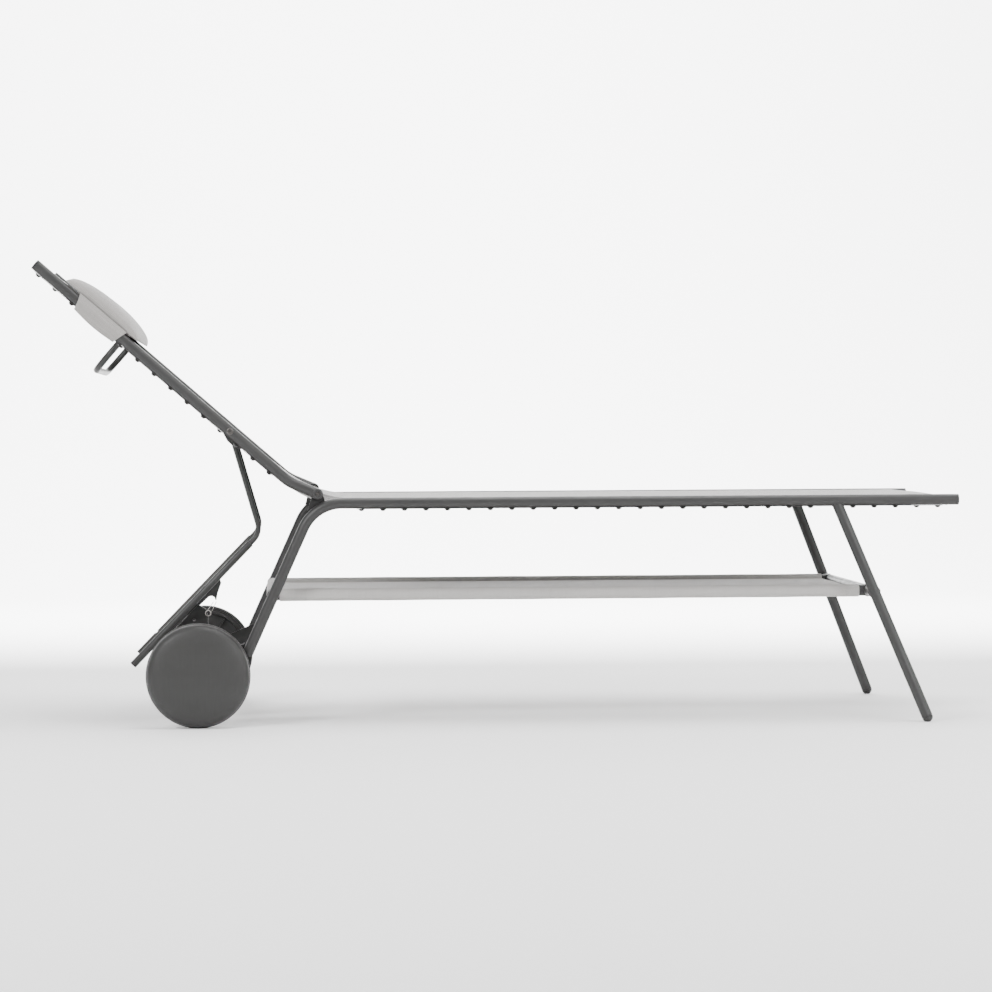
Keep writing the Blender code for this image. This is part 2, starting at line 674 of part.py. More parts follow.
def axle_bracket(side):
    """Plate from the rear leg's end to the axle tube."""
    y = plate_start(side, LUG_SPACE, LUG_THICKNESS)
    axle = Vector((AXLE_X, y, WHEEL_RADIUS))
    low = Vector((leg_x(LEG_END_HEIGHT + 0.006), y, LEG_END_HEIGHT + 0.006))
    high = Vector((leg_x(LEG_END_HEIGHT + 0.020), y, LEG_END_HEIGHT + 0.020))
    outline = arc(axle, 0.018, 110, 290, 8) + arc(low, 0.009, -70, 20, 3)
    outline += arc(high, 0.008, 0, 120, 3)
    name = f"axle_bracket_{SIDE_NAMES[side]}"
    bracket = plate(name, outline, LUG_THICKNESS, "fitting_paint")
    cut_round(bracket, axle - ACROSS, axle + ACROSS, AXLE_TUBE + GAP)


def guide_outline(y, top):
    """Guide plate: along the prop's bar on one side, and round the axle tube below."""
    axle = Vector((AXLE_X, y, WHEEL_RADIUS))
    outline = [slide_point(0.2857, 0.0108, y), slide_point(top, 0.0108, y)]
    outline += [slide_point(top - 0.004, 0.0313, y), slide_point(top + 0.006, 0.0443, y)]
    return outline + arc(axle, 0.017, 20, -180, 9)


def guide_plate(name, y, top):
    """One guide plate, bored for the axle tube."""
    guide = plate(name, guide_outline(y, top), LATCH_THICKNESS, "fitting_paint")
    axle = Vector((AXLE_X, y, WHEEL_RADIUS))
    cut_round(guide, axle - ACROSS, axle + ACROSS, AXLE_TUBE + GAP)
    return guide


def latch_brackets():
    """The two guide plates on the axle tube. The left one carries the latch."""
    guide = guide_plate("latch_bracket", LATCH_PLATE, 0.1937)
    place = slide_point(LATCH_PIN_ALONG, LATCH_PIN_OFF, LATCH_PLATE)
    cut_round(guide, place - ACROSS, place + ACROSS, LATCH_PIN + GAP, 12)
    guide_plate("guide_bracket", -LATCH_PLATE - LATCH_THICKNESS, 0.2117)


def latch_pin():
    """Hollow pin through bracket and hook."""
    place = slide_point(LATCH_PIN_ALONG, LATCH_PIN_OFF, 0)
    start = LATCH_PLATE - 0.0008
    end = LATCH_HOOK + HOOK_THICKNESS + 0.0008
    profile = [(0.0015, start), (LATCH_PIN, start), (LATCH_PIN, end), (0.0015, end)]
    turned("latch_pin", profile, place, (0, 1, 0), "fitting_paint", None, 12)


def latch_hook(parent):
    """Spring-loaded lever beside the prop's bar, with a finger opening under its head."""
    y = LATCH_HOOK
    edge = 0.0040
    boss = slide_point(LATCH_PIN_ALONG, LATCH_PIN_OFF, y)
    head = [(0.1247, edge), (0.1299, 0.0141), (0.1504, 0.0235), (0.1622, 0.0313)]
    throat = [(0.1639, 0.0291), (0.1609, 0.0250), (0.1622, 0.0195), (0.1667, 0.0156),
              (0.1945, 0.0140), (0.2087, 0.0176)]
    outline = [slide_point(along, off, y) for along, off in head + throat]
    outline += arc(boss, 0.009, 40, -150, 6)
    outline += [slide_point(0.2287, 0.0113, y), slide_point(0.2207, edge, y)]
    hook = plate("latch_hook", outline, HOOK_THICKNESS, "fitting_paint", parent)
    cut_round(hook, boss - ACROSS, boss + ACROSS, LATCH_PIN + GAP, 12)


def latch_spring():
    """Torsion spring in front of the bracket: two legs up to the hook and a coil between."""
    coil = slide_point(0.1927, 0.0373, 0)
    y_start = LATCH_PLATE - 0.0085
    y_end = LATCH_PLATE - 0.0022
    tip = slide_point(0.1657, 0.0318, 0)
    count = 30
    path = [Vector((tip.x - 0.004, y_start, tip.z))]
    for i in range(count + 1):
        turn = pi - 2 * pi * SPRING_TURNS * i / count
        y = y_start + (y_end - y_start) * i / count
        path.append(Vector((coil.x + SPRING_COIL * cos(turn), y, coil.z + SPRING_COIL * sin(turn))))
    path.append(Vector((tip.x + 0.002, y_end, tip.z)))
    rod("latch_spring", path, SPRING_WIRE, "spring_steel", sides=6)


# ------------------------------------------------------------------ wheels
def wheel(side, parent):
    """Wheel core with hub and rim, its tyre, and the domed cover outside."""
    name = SIDE_NAMES[side]
    centre = (AXLE_X, side * WHEEL_PLANE, WHEEL_RADIUS)
    axis = (0, side, 0)
    bore = AXLE_ROD + GAP
    core = [(bore, -HUB_INNER), (0.016, -HUB_INNER), (0.018, -0.008), (0.086, -0.006),
            (0.090, -0.022), (RIM, -0.022), (RIM, 0.004), (0.086, 0.002), (0.018, 0.002),
            (0.016, HUB_OUTER), (bore, HUB_OUTER)]
    turned(f"wheel_core_{name}", core, centre, axis, "wheel_plastic", parent, 32)
    groove = RIM + GAP
    tyre = [(groove, -0.020), (0.1015, -0.022), (WHEEL_RADIUS, -0.018), (WHEEL_RADIUS, 0.002),
            (0.1015, 0.0055), (groove, 0.0055)]
    turned(f"wheel_tyre_{name}", tyre, centre, axis, "tyre_rubber", parent, 32)
    turned(f"wheel_cover_{name}", cover_profile(), centre, axis, "wheel_plastic", parent, 32,
           closed=False)


def cover_profile():
    """Section of the cover, outside first: a low dome, a round shoulder, and a thin wall."""
    start = WHEEL_RADIUS - 0.0015 - COVER_SHOULDER
    level = COVER_FACE - COVER_SHOULDER
    wall = COVER_SHOULDER - COVER_THICKNESS
    crown = COVER_FACE + COVER_CROWN
    turn = [radians(90 - 22.5 * i) for i in range(5)]
    outer = [(0, crown), (start / 2, crown - COVER_CROWN * 0.3)]
    outer += [(start + COVER_SHOULDER * cos(a), level + COVER_SHOULDER * sin(a)) for a in turn]
    inner = [(start + wall * cos(a), level + wall * sin(a)) for a in turn[::-1]]
    inner += [(start / 2, crown - COVER_CROWN * 0.3 - COVER_THICKNESS),
              (0, crown - COVER_THICKNESS)]
    return outer + inner


# ------------------------------------------------------------------ studs under the rails
def stud_strip(name, start, run, down, count, parent=None):
    """A thin strip with a row of studs, all one skin."""
    across = run.cross(down)
    margin = 0.010
    low = start - run * margin
    high = start + run * (STUD_PITCH * (count - 1) + margin)
    half = across * STUD_STRIP_WIDTH / 2
    deep = down * STUD_STRIP
    bm = bmesh.new()
    stations = []
    for i in range(count):
        middle = start + run * STUD_PITCH * i
        stations.append((middle - run * STUD_RADIUS, middle + run * STUD_RADIUS))
    build_strip(bm, low, high, half, deep, down, stations)
    return put(name, bm, "stud_plastic", parent)


def build_strip(bm, low, high, half, deep, down, stations):
    """One closed skin: plain strip between the studs, and a dome where a stud sits."""
    places = [low]
    for one, two in stations:
        places += [one, two]
    places.append(high)
    top = [(bm.verts.new(p - half), bm.verts.new(p + half)) for p in places]
    bottom = [(bm.verts.new(p - half + deep), bm.verts.new(p + half + deep)) for p in places]
    for i in range(len(places) - 1):
        bm.faces.new((top[i][0], top[i][1], top[i + 1][1], top[i + 1][0]))
        for k in (0, 1):
            bm.faces.new((top[i][k], top[i + 1][k], bottom[i + 1][k], bottom[i][k]))
        corners = (bottom[i][0], bottom[i][1], bottom[i + 1][1], bottom[i + 1][0])
        if i % 2 == 0:
            bm.faces.new(corners)
        else:
            stud_dome(bm, corners, down)
    for i in (0, -1):
        bm.faces.new((top[i][0], top[i][1], bottom[i][1], bottom[i][0]))


def stud_dome(bm, corners, down):
    """Close a square opening with a stud: four sloping sides and a low point."""
    middle = sum((v.co for v in corners), Vector()) / 4
    shoulder = down * STUD_HEIGHT * 0.7
    loop = [bm.verts.new(middle + (v.co - middle) * 0.75 + shoulder) for v in corners]
    bridge(bm, list(corners), loop)
    crown = bm.verts.new(middle + down * STUD_HEIGHT)
    for i in range(4):
        bm.faces.new((loop[i], loop[(i + 1) % 4], crown))


def all_stud_strips(back_parent):
    """Studs under both seat rails and both back rails."""
    for side in (LEFT, RIGHT):
        name = SIDE_NAMES[side]
        y = side * RAIL_HALF_SPACING
        start = Vector((FOOT_END_X - FIRST_SEAT_STUD, y, RAIL_HEIGHT - TUBE - GAP))
        stud_strip(f"seat_studs_{name}", start, Vector((-1, 0, 0)), Vector((0, 0, -1)),
                   SEAT_STUDS)
        start = back_point(BACK_LENGTH - FIRST_BACK_STUD, -HINGE_RISE - TUBE - GAP, y)
        run = back_point(-1, 0, y) - back_point(0, 0, y)
        down = back_point(0, -1, y) - back_point(0, 0, y)
        stud_strip(f"back_studs_{name}", start, run, down, BACK_STUDS, back_parent)


# ------------------------------------------------------------------ soft solids
def sling_solid(name, place, length_start, length_end, level, sag, parent=None):
    """A sheet that hangs between the rails, given by a place(along, depth, y) function."""
    count = 8
    bm = bmesh.new()
    loops = []
    for along in (length_start, length_end):
        top = []
        low = []
        for i in range(count + 1):
            y = SLING_EDGE * (2 * i / count - 1)
            depth = level - sag * (1 - (y / SLING_EDGE) ** 2)
            top.append(bm.verts.new(place(along, depth, y)))
            low.append(bm.verts.new(place(along, depth - SLING_THICKNESS, y)))
        loops.append(top + low[::-1])
    bridge(bm, loops[0], loops[1])
    for loop in loops:
        for i in range(count):
            j = 2 * count + 1 - i
            bm.faces.new((loop[i], loop[i + 1], loop[j - 1], loop[j]))
    return put(name, bm, "sling_fabric", parent)


def seat_place(along, depth, y):
    """A point given from the hinge along the seat, and above the rails' middle."""
    return Vector((HINGE_X + along, y, RAIL_HEIGHT + depth))


def pillow(parent):
    """Head pillow: flat below on the rails, and crowned above."""
    shape = [(0.00, 0.25), (0.04, 0.50), (0.17, 0.80), (0.36, 0.98), (0.62, 0.98),
             (0.82, 0.78), (0.95, 0.46), (1.00, 0.22), (1.00, 0.05), (0.90, 0.0),
             (0.10, 0.0), (0.0, 0.10)]
    outline = [back_point(PILLOW_START + PILLOW_LENGTH * a,
                          PILLOW_BASE + (PILLOW_CROWN - PILLOW_BASE) * h, -PILLOW_HALF_WIDTH)
               for a, h in shape]
    plate("pillow", outline, 2 * PILLOW_HALF_WIDTH, "pillow_fabric", parent)


def shelf_fabric():
    """Shelf fabric: a flat web between the side tubes, with a sleeve round each of them."""
    start = leg_x(SHELF_HEIGHT) + TUBE + 0.004
    end = front_leg_point(SHELF_HEIGHT, RIGHT).x - TUBE - 0.009
    sleeve = TUBE + GAP + SHELF_SKIN
    bite = atan(SHELF_SKIN / sleeve)
    count = 12
    outline = []
    for side in (RIGHT, LEFT):
        for i in range(count + 1):
            turn = (pi - bite) - (2 * pi - 2 * bite) * i / count
            y = side * (SHELF_HALF_WIDTH + sleeve * cos(turn))
            z = SHELF_HEIGHT + side * sleeve * sin(turn)
            outline.append(Vector((start, y, z)))
    bm = bmesh.new()
    loops = []
    for x in (start, end):
        loops.append([bm.verts.new((x, p.y, p.z)) for p in outline])
        bm.faces.new(loops[-1])
    bridge(bm, loops[0], loops[1])
    cloth = put("shelf_fabric", bm, "shelf_fabric")
    for side in (LEFT, RIGHT):
        y = side * SHELF_HALF_WIDTH
        cut_round(cloth, (start - 0.01, y, SHELF_HEIGHT), (end + 0.01, y, SHELF_HEIGHT),
                  TUBE + GAP)


# ------------------------------------------------------------------ assembly
def build_frame():
    """Everything that stands still."""
    for side in (LEFT, RIGHT):
        side_frame(side)
        front_leg(side)
        shelf_tube(side)
        hinge_lug(side)
        hinge_bolt(side)
        axle_bracket(side)
    cross_tubes()
    axle_parts()
    latch_brackets()
    latch_pin()
    latch_spring()
    shelf_fabric()
    sling_solid("seat_sling", seat_place, 0.034, HINGE_TO_FOOT_END - 0.036,
                SEAT_EDGE, SEAT_SAG)


def build_back(back, prop):
    """The back with its handle and pillow, and the prop that hangs on it."""
    for side in (LEFT, RIGHT):
        back_tube(side, back)
        back_knuckle(side, back)
        prop_lug(side, back)
        lug_screw(side, back)
        prop_bolt(side, back)
        prop_arm(side, prop)
        prop_slide(side, prop)
    back_top_crossbar(back)
    handle_bar(back)
    prop_top_tube(prop)
    sling_solid("back_sling", back_point, 0.050, BACK_LENGTH - 0.045, BACK_EDGE, BACK_SAG,
                back)
    pillow(back)


def main():
    """Clear the scene and build the lounger."""
    for obj in list(bpy.data.objects):
        bpy.data.objects.remove(obj, do_unlink=True)
    back = pivot("back_pivot", (HINGE_X, 0, HINGE_Z))
    prop = pivot("prop_pivot", back_point(PROP_PIVOT_ALONG, PROP_PIVOT_DEPTH, 0))
    latch = pivot("latch_pivot", slide_point(LATCH_PIN_ALONG, LATCH_PIN_OFF, LATCH_HOOK))
    build_frame()
    build_back(back, prop)
    latch_hook(latch)
    for side in (LEFT, RIGHT):
        place = (AXLE_X, side * WHEEL_PLANE, WHEEL_RADIUS)
        wheel(side, pivot(f"wheel_pivot_{SIDE_NAMES[side]}", place))
    all_stud_strips(back)


main()
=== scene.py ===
"""Looks of the reclining sun lounger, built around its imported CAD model.

Metres, +Z up. The foot end points to +X, the head end and the wheels to -X, the near side to -Y.
"""
import json
from math import ceil, cos, dist, pi, radians, sin, sqrt, tan

import bmesh
import bpy
from mathutils import Matrix, Vector


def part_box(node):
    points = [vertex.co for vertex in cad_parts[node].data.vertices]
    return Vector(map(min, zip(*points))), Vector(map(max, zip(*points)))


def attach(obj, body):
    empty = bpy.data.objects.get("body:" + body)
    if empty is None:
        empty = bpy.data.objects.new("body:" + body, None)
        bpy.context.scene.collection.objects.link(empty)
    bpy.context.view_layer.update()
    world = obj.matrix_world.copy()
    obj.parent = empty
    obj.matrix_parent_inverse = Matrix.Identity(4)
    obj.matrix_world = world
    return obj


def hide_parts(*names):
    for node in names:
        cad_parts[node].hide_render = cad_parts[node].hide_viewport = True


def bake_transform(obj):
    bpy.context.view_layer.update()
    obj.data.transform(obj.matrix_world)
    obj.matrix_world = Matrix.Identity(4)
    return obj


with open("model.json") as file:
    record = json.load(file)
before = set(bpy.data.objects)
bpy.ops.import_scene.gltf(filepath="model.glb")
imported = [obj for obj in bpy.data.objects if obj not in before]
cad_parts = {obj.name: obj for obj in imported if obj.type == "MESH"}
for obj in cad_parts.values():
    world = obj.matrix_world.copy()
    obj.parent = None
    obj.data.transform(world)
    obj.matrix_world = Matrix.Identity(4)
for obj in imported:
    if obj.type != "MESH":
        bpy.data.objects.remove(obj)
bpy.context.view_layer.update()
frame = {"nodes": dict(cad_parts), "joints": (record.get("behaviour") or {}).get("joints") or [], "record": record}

# ------------------------------------------------------------------ places, from the frame
JOINTS = {joint["name"]: joint for joint in frame["joints"]}
HINGE = Vector(JOINTS["back_hinge"]["pos_m"])
PROP_PIVOT = Vector(JOINTS["prop_hinge"]["pos_m"])
LATCH_PIVOT = Vector(JOINTS["latch_hinge"]["pos_m"])
AXLE = Vector(JOINTS["wheel_left_spin"]["pos_m"])
RECLINE = radians(41)        # back above the horizontal at rest

LEFT = -1                    # the near side, at -Y
RIGHT = 1
SIDES = (LEFT, RIGHT)
NAMES = {LEFT: "left", RIGHT: "right"}


def middle(node):
    """Middle of a CAD node's box."""
    low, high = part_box(node)
    return (Vector(low) + Vector(high)) / 2


def span(node):
    """Size of a CAD node's box."""
    low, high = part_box(node)
    return Vector(high) - Vector(low)


RAIL_Y = middle("foot_end_plug_right").y
RAIL_Z = middle("foot_end_plug_right").z
TUBE = span("foot_end_plug_right").z / 2
FOOT_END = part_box("foot_end_plug_right")[1][0]
RAIL_DEPTH = RAIL_Z - HINGE.z        # rails below the hinge line, on seat and back alike
BACK_LENGTH = 0.725          # from the hinge to the top end of a back rail
SHELF_Z = middle("shelf_tube_right").z
SHELF_Y = middle("shelf_tube_right").y
WHEEL = AXLE.z
WHEEL_Y = abs(AXLE.y)
FOOT_BAR = middle("foot_crossbar")
BAR = span("foot_crossbar").z / 2
GAP = 0.0003                 # between parts that touch


def back_point(along, depth, y):
    """A point given along the back from the hinge, and above its line."""
    x = HINGE.x - along * cos(RECLINE) + depth * sin(RECLINE)
    z = HINGE.z + along * sin(RECLINE) + depth * cos(RECLINE)
    return Vector((x, y, z))


BACK_UP = (back_point(1, 0, 0) - back_point(0, 0, 0)).normalized()
BACK_OUT = (back_point(0, 1, 0) - back_point(0, 0, 0)).normalized()

PROP_ELBOW = HINGE + Vector((-0.1149, 0, -0.0802))       # where a prop rod bends
PROP_END = HINGE + Vector((-0.3753, 0, -0.3481))         # lower end of its slide tube
PROP_RUN = (PROP_END - PROP_ELBOW).normalized()
PROP_OFF = Vector((-PROP_RUN.z, 0, PROP_RUN.x))
PROP_Y = abs(middle("prop_slide_left").y)


def slide_point(along, off, y):
    """A point along the prop's lower bar from its elbow, and off its lower right side."""
    return PROP_ELBOW + PROP_RUN * along + PROP_OFF * off + Vector((0, y, 0))


LEG_SLOPE = radians(65.7)                # rear legs, from the horizontal
LEG_CORNER = HINGE.x - 0.0065            # where the lines of seat rail and rear leg cross
LEG_BEND = 0.085
LEG_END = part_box("side_frame_left")[0][2] + TUBE * cos(LEG_SLOPE)


def leg_point(height, y):
    """Middle of a rear leg at a height."""
    return Vector((LEG_CORNER - (RAIL_Z - height) / tan(LEG_SLOPE), y, height))


LEG_FOOT = Vector((0.8537, 0.3863, 0.010))               # lower end of the right front leg
LEG_RAKE = 0.4                           # its run along X for each metre of height
LEG_TOP = Vector((LEG_FOOT.x - (RAIL_Z - TUBE - LEG_FOOT.z) * LEG_RAKE, RAIL_Y, RAIL_Z - TUBE))


def front_leg_point(height, side):
    """Middle of a front leg at a height."""
    share = (LEG_TOP.z - height) / (LEG_TOP.z - LEG_FOOT.z)
    place = LEG_TOP.lerp(LEG_FOOT, share)
    return Vector((place.x, side * place.y, height))


# ------------------------------------------------------------------ material nodes
class Shading:
    """A material's node tree, with one-line calls for the nodes that are used here."""

    def __init__(self, name, roughness, metallic=0.0):
        self.material = bpy.data.materials.new(name)
        self.material.use_nodes = True
        self.tree = self.material.node_tree
        self.shader = self.tree.nodes["Principled BSDF"]
        self.shader.inputs["Roughness"].default_value = roughness
        self.shader.inputs["Metallic"].default_value = metallic

    def node(self, kind, inputs, **settings):
        """A node with its settings, and its inputs linked or set."""
        made = self.tree.nodes.new(kind)
        for name, value in settings.items():
            setattr(made, name, value)
        for key, value in inputs.items():
            if isinstance(value, bpy.types.NodeSocket):
                self.tree.links.new(value, made.inputs[key])
            else:
                made.inputs[key].default_value = value
        return made

    def place(self, kind="Object"):
        """Coordinates of the surface, in metres."""
        return self.node("ShaderNodeTexCoord", {}).outputs[kind]

    def scaled(self, vector, scale):
        """Coordinates stretched by three factors."""
        inputs = {"Vector": vector, "Scale": scale}
        return self.node("ShaderNodeMapping", inputs).outputs["Vector"]

    def noise(self, vector, scale, detail=2.0, rough=0.5):
        """Noise from 0 to 1, that many grains to the metre."""
        inputs = {"Vector": vector, "Scale": scale, "Detail": detail, "Roughness": rough}
        return self.node("ShaderNodeTexNoise", inputs).outputs["Fac"]

    def math(self, operation, one, two=0.0):
        """One arithmetic step."""
        made = self.node("ShaderNodeMath", {0: one, 1: two}, operation=operation)
        return made.outputs[0]

    def ramp(self, value, low, high, to_low=0.0, to_high=1.0):
        """A value's range mapped to another, and held at its ends."""
        inputs = {"Value": value, "From Min": low, "From Max": high,
                  "To Min": to_low, "To Max": to_high}
        return self.node("ShaderNodeMapRange", inputs).outputs["Result"]

    def mix(self, share, one, two):
        """A colour between two colours."""
        made = self.node("ShaderNodeMix", {}, data_type="RGBA")
        for index, value in ((0, share), (6, one), (7, two)):
            if isinstance(value, bpy.types.NodeSocket):
                self.tree.links.new(value, made.inputs[index])
            else:
                made.inputs[index].default_value = value
        return made.outputs[2]

    def bump(self, height, distance):
        """Bump of a height from 0 to 1, that many metres deep."""
        inputs = {"Height": height, "Distance": distance, "Strength": 1.0}
        return self.node("ShaderNodeBump", inputs).outputs["Normal"]

    def finish(self, colour, normal, roughness=None):
        """Link the results to the shader and give back the material."""
        self.tree.links.new(colour, self.shader.inputs["Base Color"])
        self.tree.links.new(normal, self.shader.inputs["Normal"])
        if roughness:
            self.tree.links.new(roughness, self.shader.inputs["Roughness"])
        return self.material


COATED_SPECULAR = 0.36       # specular level of paint and moulded plastic
YARN = 0.0016                # pitch of the coated yarns
YARN_RELIEF = 0.00035        # how far they stand out
SHEEN = 0.12


def grey(value, warmth):
    """A grey colour of a linear value, a little warm."""
    return (value * (1 + warmth), value, value * (1 - warmth), 1)


def powder_coat(name, value):
    """Powder-coated metal: orange-peel surface, faint mottling and dulled patches."""
    s = Shading(name, 0.4)
    place = s.place()
    peel = s.noise(place, 900, 1.0)
    cloud = s.noise(place, 9, 3.0)
    speck = s.noise(place, 2600, 1.0)
    colour = s.mix(s.ramp(cloud, 0.35, 0.7), grey(value * 0.92, 0.012), grey(value * 1.06, 0.012))
    colour = s.mix(s.ramp(speck, 0.62, 0.8, 0.0, 0.25), colour, grey(value * 1.7, 0.01))
    roughness = s.ramp(s.noise(place, 35, 3.0), 0.3, 0.7, 0.34, 0.46)
    s.shader.inputs["Specular IOR Level"].default_value = COATED_SPECULAR
    return s.finish(colour, s.bump(peel, 0.00006), roughness)


def moulded_plastic(name, value, grain=1500, roughness=0.5):
    """Moulded plastic: fine spark-eroded grain, faint flow marks and scuffs."""
    s = Shading(name, roughness)
    place = s.place()
    fine = s.noise(place, grain, 2.0)
    flow = s.noise(s.scaled(place, (4, 4, 11)), 2.0, 3.0)
    scuff = s.noise(s.scaled(place, (260, 260, 18)), 1.0, 4.0, 0.7)
    colour = s.mix(s.ramp(flow, 0.3, 0.7), grey(value * 0.93, 0.02), grey(value * 1.06, 0.01))
    colour = s.mix(s.ramp(scuff, 0.68, 0.82, 0.0, 0.3), colour, grey(value * 1.5, 0.02))
    rough = s.ramp(scuff, 0.4, 0.8, roughness - 0.05, roughness + 0.12)
    s.shader.inputs["Specular IOR Level"].default_value = COATED_SPECULAR
    return s.finish(colour, s.bump(fine, 0.00004), rough)


def rubber(name):
    """Matt tyre rubber with a trace of dust."""
    s = Shading(name, 0.8)
    place = s.place()
    dust = s.noise(place, 60, 4.0, 0.6)
    colour = s.mix(s.ramp(dust, 0.45, 0.75, 0.0, 0.35), grey(0.022, 0.02), grey(0.085, 0.06))
    return s.finish(colour, s.bump(s.noise(place, 700, 3.0), 0.00012))


def steel(name, value, along=(40, 1600, 1600)):
    """Plain steel with drawing or turning marks."""
    s = Shading(name, 0.32, 1.0)
    place = s.place()
    lines = s.noise(s.scaled(place, along), 1.0, 2.0)
    tarnish = s.noise(place, 120, 3.0)
    colour = s.mix(s.ramp(tarnish, 0.4, 0.75), grey(value, 0.03), grey(value * 0.6, 0.10))
    rough = s.ramp(tarnish, 0.35, 0.75, 0.25, 0.5)
    return s.finish(colour, s.bump(lines, 0.00002), rough)


def woven(name, light, gap_shade, warmth=0.02):
    """Coated yarn in a plain weave, on a mesh whose UV map is in metres. The weave's low places take a darker
    colour: painted shade in the gaps between the yarns.
    """
    s = Shading(name, 0.75)
    uv = s.place("UV")
    parts = s.node("ShaderNodeSeparateXYZ", {"Vector": uv})
    across = s.math("MULTIPLY", parts.outputs["X"], pi / YARN)
    along = s.math("MULTIPLY", parts.outputs["Y"], pi / YARN)
    wave_a = s.math("SINE", across)
    wave_b = s.math("SINE", along)
    over = s.ramp(s.math("MULTIPLY", wave_a, wave_b), -0.12, 0.12)
    weft = s.math("ABSOLUTE", wave_b)
    warp = s.math("ABSOLUTE", wave_a)
    blend = s.node("ShaderNodeMix", {0: over, 2: weft, 3: warp}, data_type="FLOAT")
    height = s.math("POWER", blend.outputs[0], 0.6)
    yarns = 1 / YARN / 2
    warp_tone = s.noise(s.scaled(uv, (yarns, 6, 1)), 1.0, 2.0, 0.8)
    weft_tone = s.noise(s.scaled(uv, (6, yarns, 1)), 1.0, 2.0, 0.8)
    tone = s.node("ShaderNodeMix", {0: over, 2: weft_tone, 3: warp_tone}, data_type="FLOAT")
    cloud = s.noise(uv, 7, 3.0)
    yarn = s.mix(s.ramp(tone.outputs[0], 0.3, 0.7), grey(light * 0.86, warmth),
                 grey(light * 1.06, warmth))
    yarn = s.mix(s.ramp(cloud, 0.3, 0.7, 0.0, 0.22), yarn, grey(light * 0.82, warmth * 1.6))
    # painted shade: where the weave is low, between and under the yarns, the colour goes to the darker value
    colour = s.mix(s.ramp(height, 0.25, 0.75), grey(gap_shade, warmth), yarn)
    s.shader.inputs["Sheen Weight"].default_value = SHEEN
    s.shader.inputs["Sheen Roughness"].default_value = 0.5
    return s.finish(colour, s.bump(height, YARN_RELIEF))


def make_materials():
    """Every finish, by the name of its slot."""
    return {
        "frame_paint": powder_coat("frame_paint", 0.026),
        "fitting_paint": powder_coat("fitting_paint", 0.012),
        "wheel_plastic": moulded_plastic("wheel_plastic", 0.024),
        "tyre_rubber": rubber("tyre_rubber"),
        "plug_plastic": moulded_plastic("plug_plastic", 0.024, 1800, 0.45),
        "stud_plastic": moulded_plastic("stud_plastic", 0.012, 1800, 0.45),
        "bolt_steel": steel("bolt_steel", 0.10),
        "spring_steel": steel("spring_steel", 0.45, (1600, 1600, 40)),
        # the third value of each woven finish is the painted shade in the gaps of its weave
        "sling_fabric": woven("sling_fabric", 0.43, 0.17),
        "shelf_fabric": woven("shelf_fabric", 0.44, 0.16, 0.03),
        "pillow_fabric": woven("pillow_fabric", 0.31, 0.14, 0.04),
    }


MATERIALS = make_materials()


# ------------------------------------------------------------------ mesh helpers
def piece(name, bm, slot, body, *replaced, sharp=35, tidy=True):
    """Make an object of a bmesh. It rides on a body and stands for the CAD nodes named."""
    if tidy:
        bmesh.ops.recalc_face_normals(bm, faces=bm.faces)
    mesh = bpy.data.meshes.new(name)
    bm.to_mesh(mesh)
    bm.free()
    mesh.shade_smooth()
    mesh.set_sharp_from_angle(angle=radians(sharp))
    mesh.materials.append(MATERIALS[slot])
    obj = bpy.data.objects.new(name, mesh)
    bpy.context.scene.collection.objects.link(obj)
    if body:
        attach(obj, body)
    if replaced:
        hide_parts(*replaced)
    return obj


def rounded_path(corners, radii, step=radians(5)):
    """The corners' polyline with each inner corner turned into an arc of its own radius."""
    if not isinstance(radii, tuple):
        radii = (radii,) * (len(corners) - 2)
    path = [corners[0]]
    for before, corner, after, radius in zip(corners, corners[1:], corners[2:], radii):
        back = (before - corner).normalized()
        ahead = (after - corner).normalized()
        turn = pi - back.angle(ahead)
        start = corner + back * radius * tan(turn / 2)
        axis = back.cross(ahead).normalized()
        centre = corner + (back + ahead).normalized() * radius / cos(turn / 2)
        count = max(2, ceil(turn / step))
        for i in range(count + 1):
            path.append(centre + Matrix.Rotation(-turn * i / count, 3, axis) @ (start - centre))
    path.append(corners[-1])
    return path


def ring(bm, centre, along, across, radius, sides):
    """A circle of vertices square to a direction."""
    other = along.cross(across).normalized()
    first = other.cross(along).normalized()
    angles = [2 * pi * i / sides for i in range(sides)]
    return [bm.verts.new(centre + (first * cos(a) + other * sin(a)) * radius) for a in angles]


def bridge(bm, one, two):
    """Faces between two rings of the same count."""
    for i in range(len(one)):
        j = (i + 1) % len(one)
        bm.faces.new((one[i], one[j], two[j], two[i]))


def cap(bm, loop):
    """Close a ring with a fan round its middle."""
    centre = bm.verts.new(sum((v.co for v in loop), Vector()) / len(loop))
    for i in range(len(loop)):
        bm.faces.new((loop[i], loop[(i + 1) % len(loop)], centre))


def directions(path):
    """The mean direction of travel at each point of a path."""
    steps = [(b - a).normalized() for a, b in zip(path, path[1:])]
    inner = [(a + b).normalized() for a, b in zip(steps, steps[1:])]
    return [steps[0]] + inner + [steps[-1]]


def to_surface(point, along, cylinder):
    """The point moved along a direction until it leaves a cylinder (axis point, axis, radius)."""
    axis_point, axis, radius = cylinder
    axis = Vector(axis).normalized()
    start = point - Vector(axis_point)
    start -= axis * start.dot(axis)
    step = along - axis * along.dot(axis)
    a = step.dot(step)
    b = start.dot(step)
    c = start.dot(start) - radius ** 2
    return point + along * ((sqrt(max(b * b - a * c, 0)) - b) / a)


CHAMFER = 0.0008             # at a free end of a bar
SINK = 0.0004                # how far a coped end reaches into the tube it is welded to


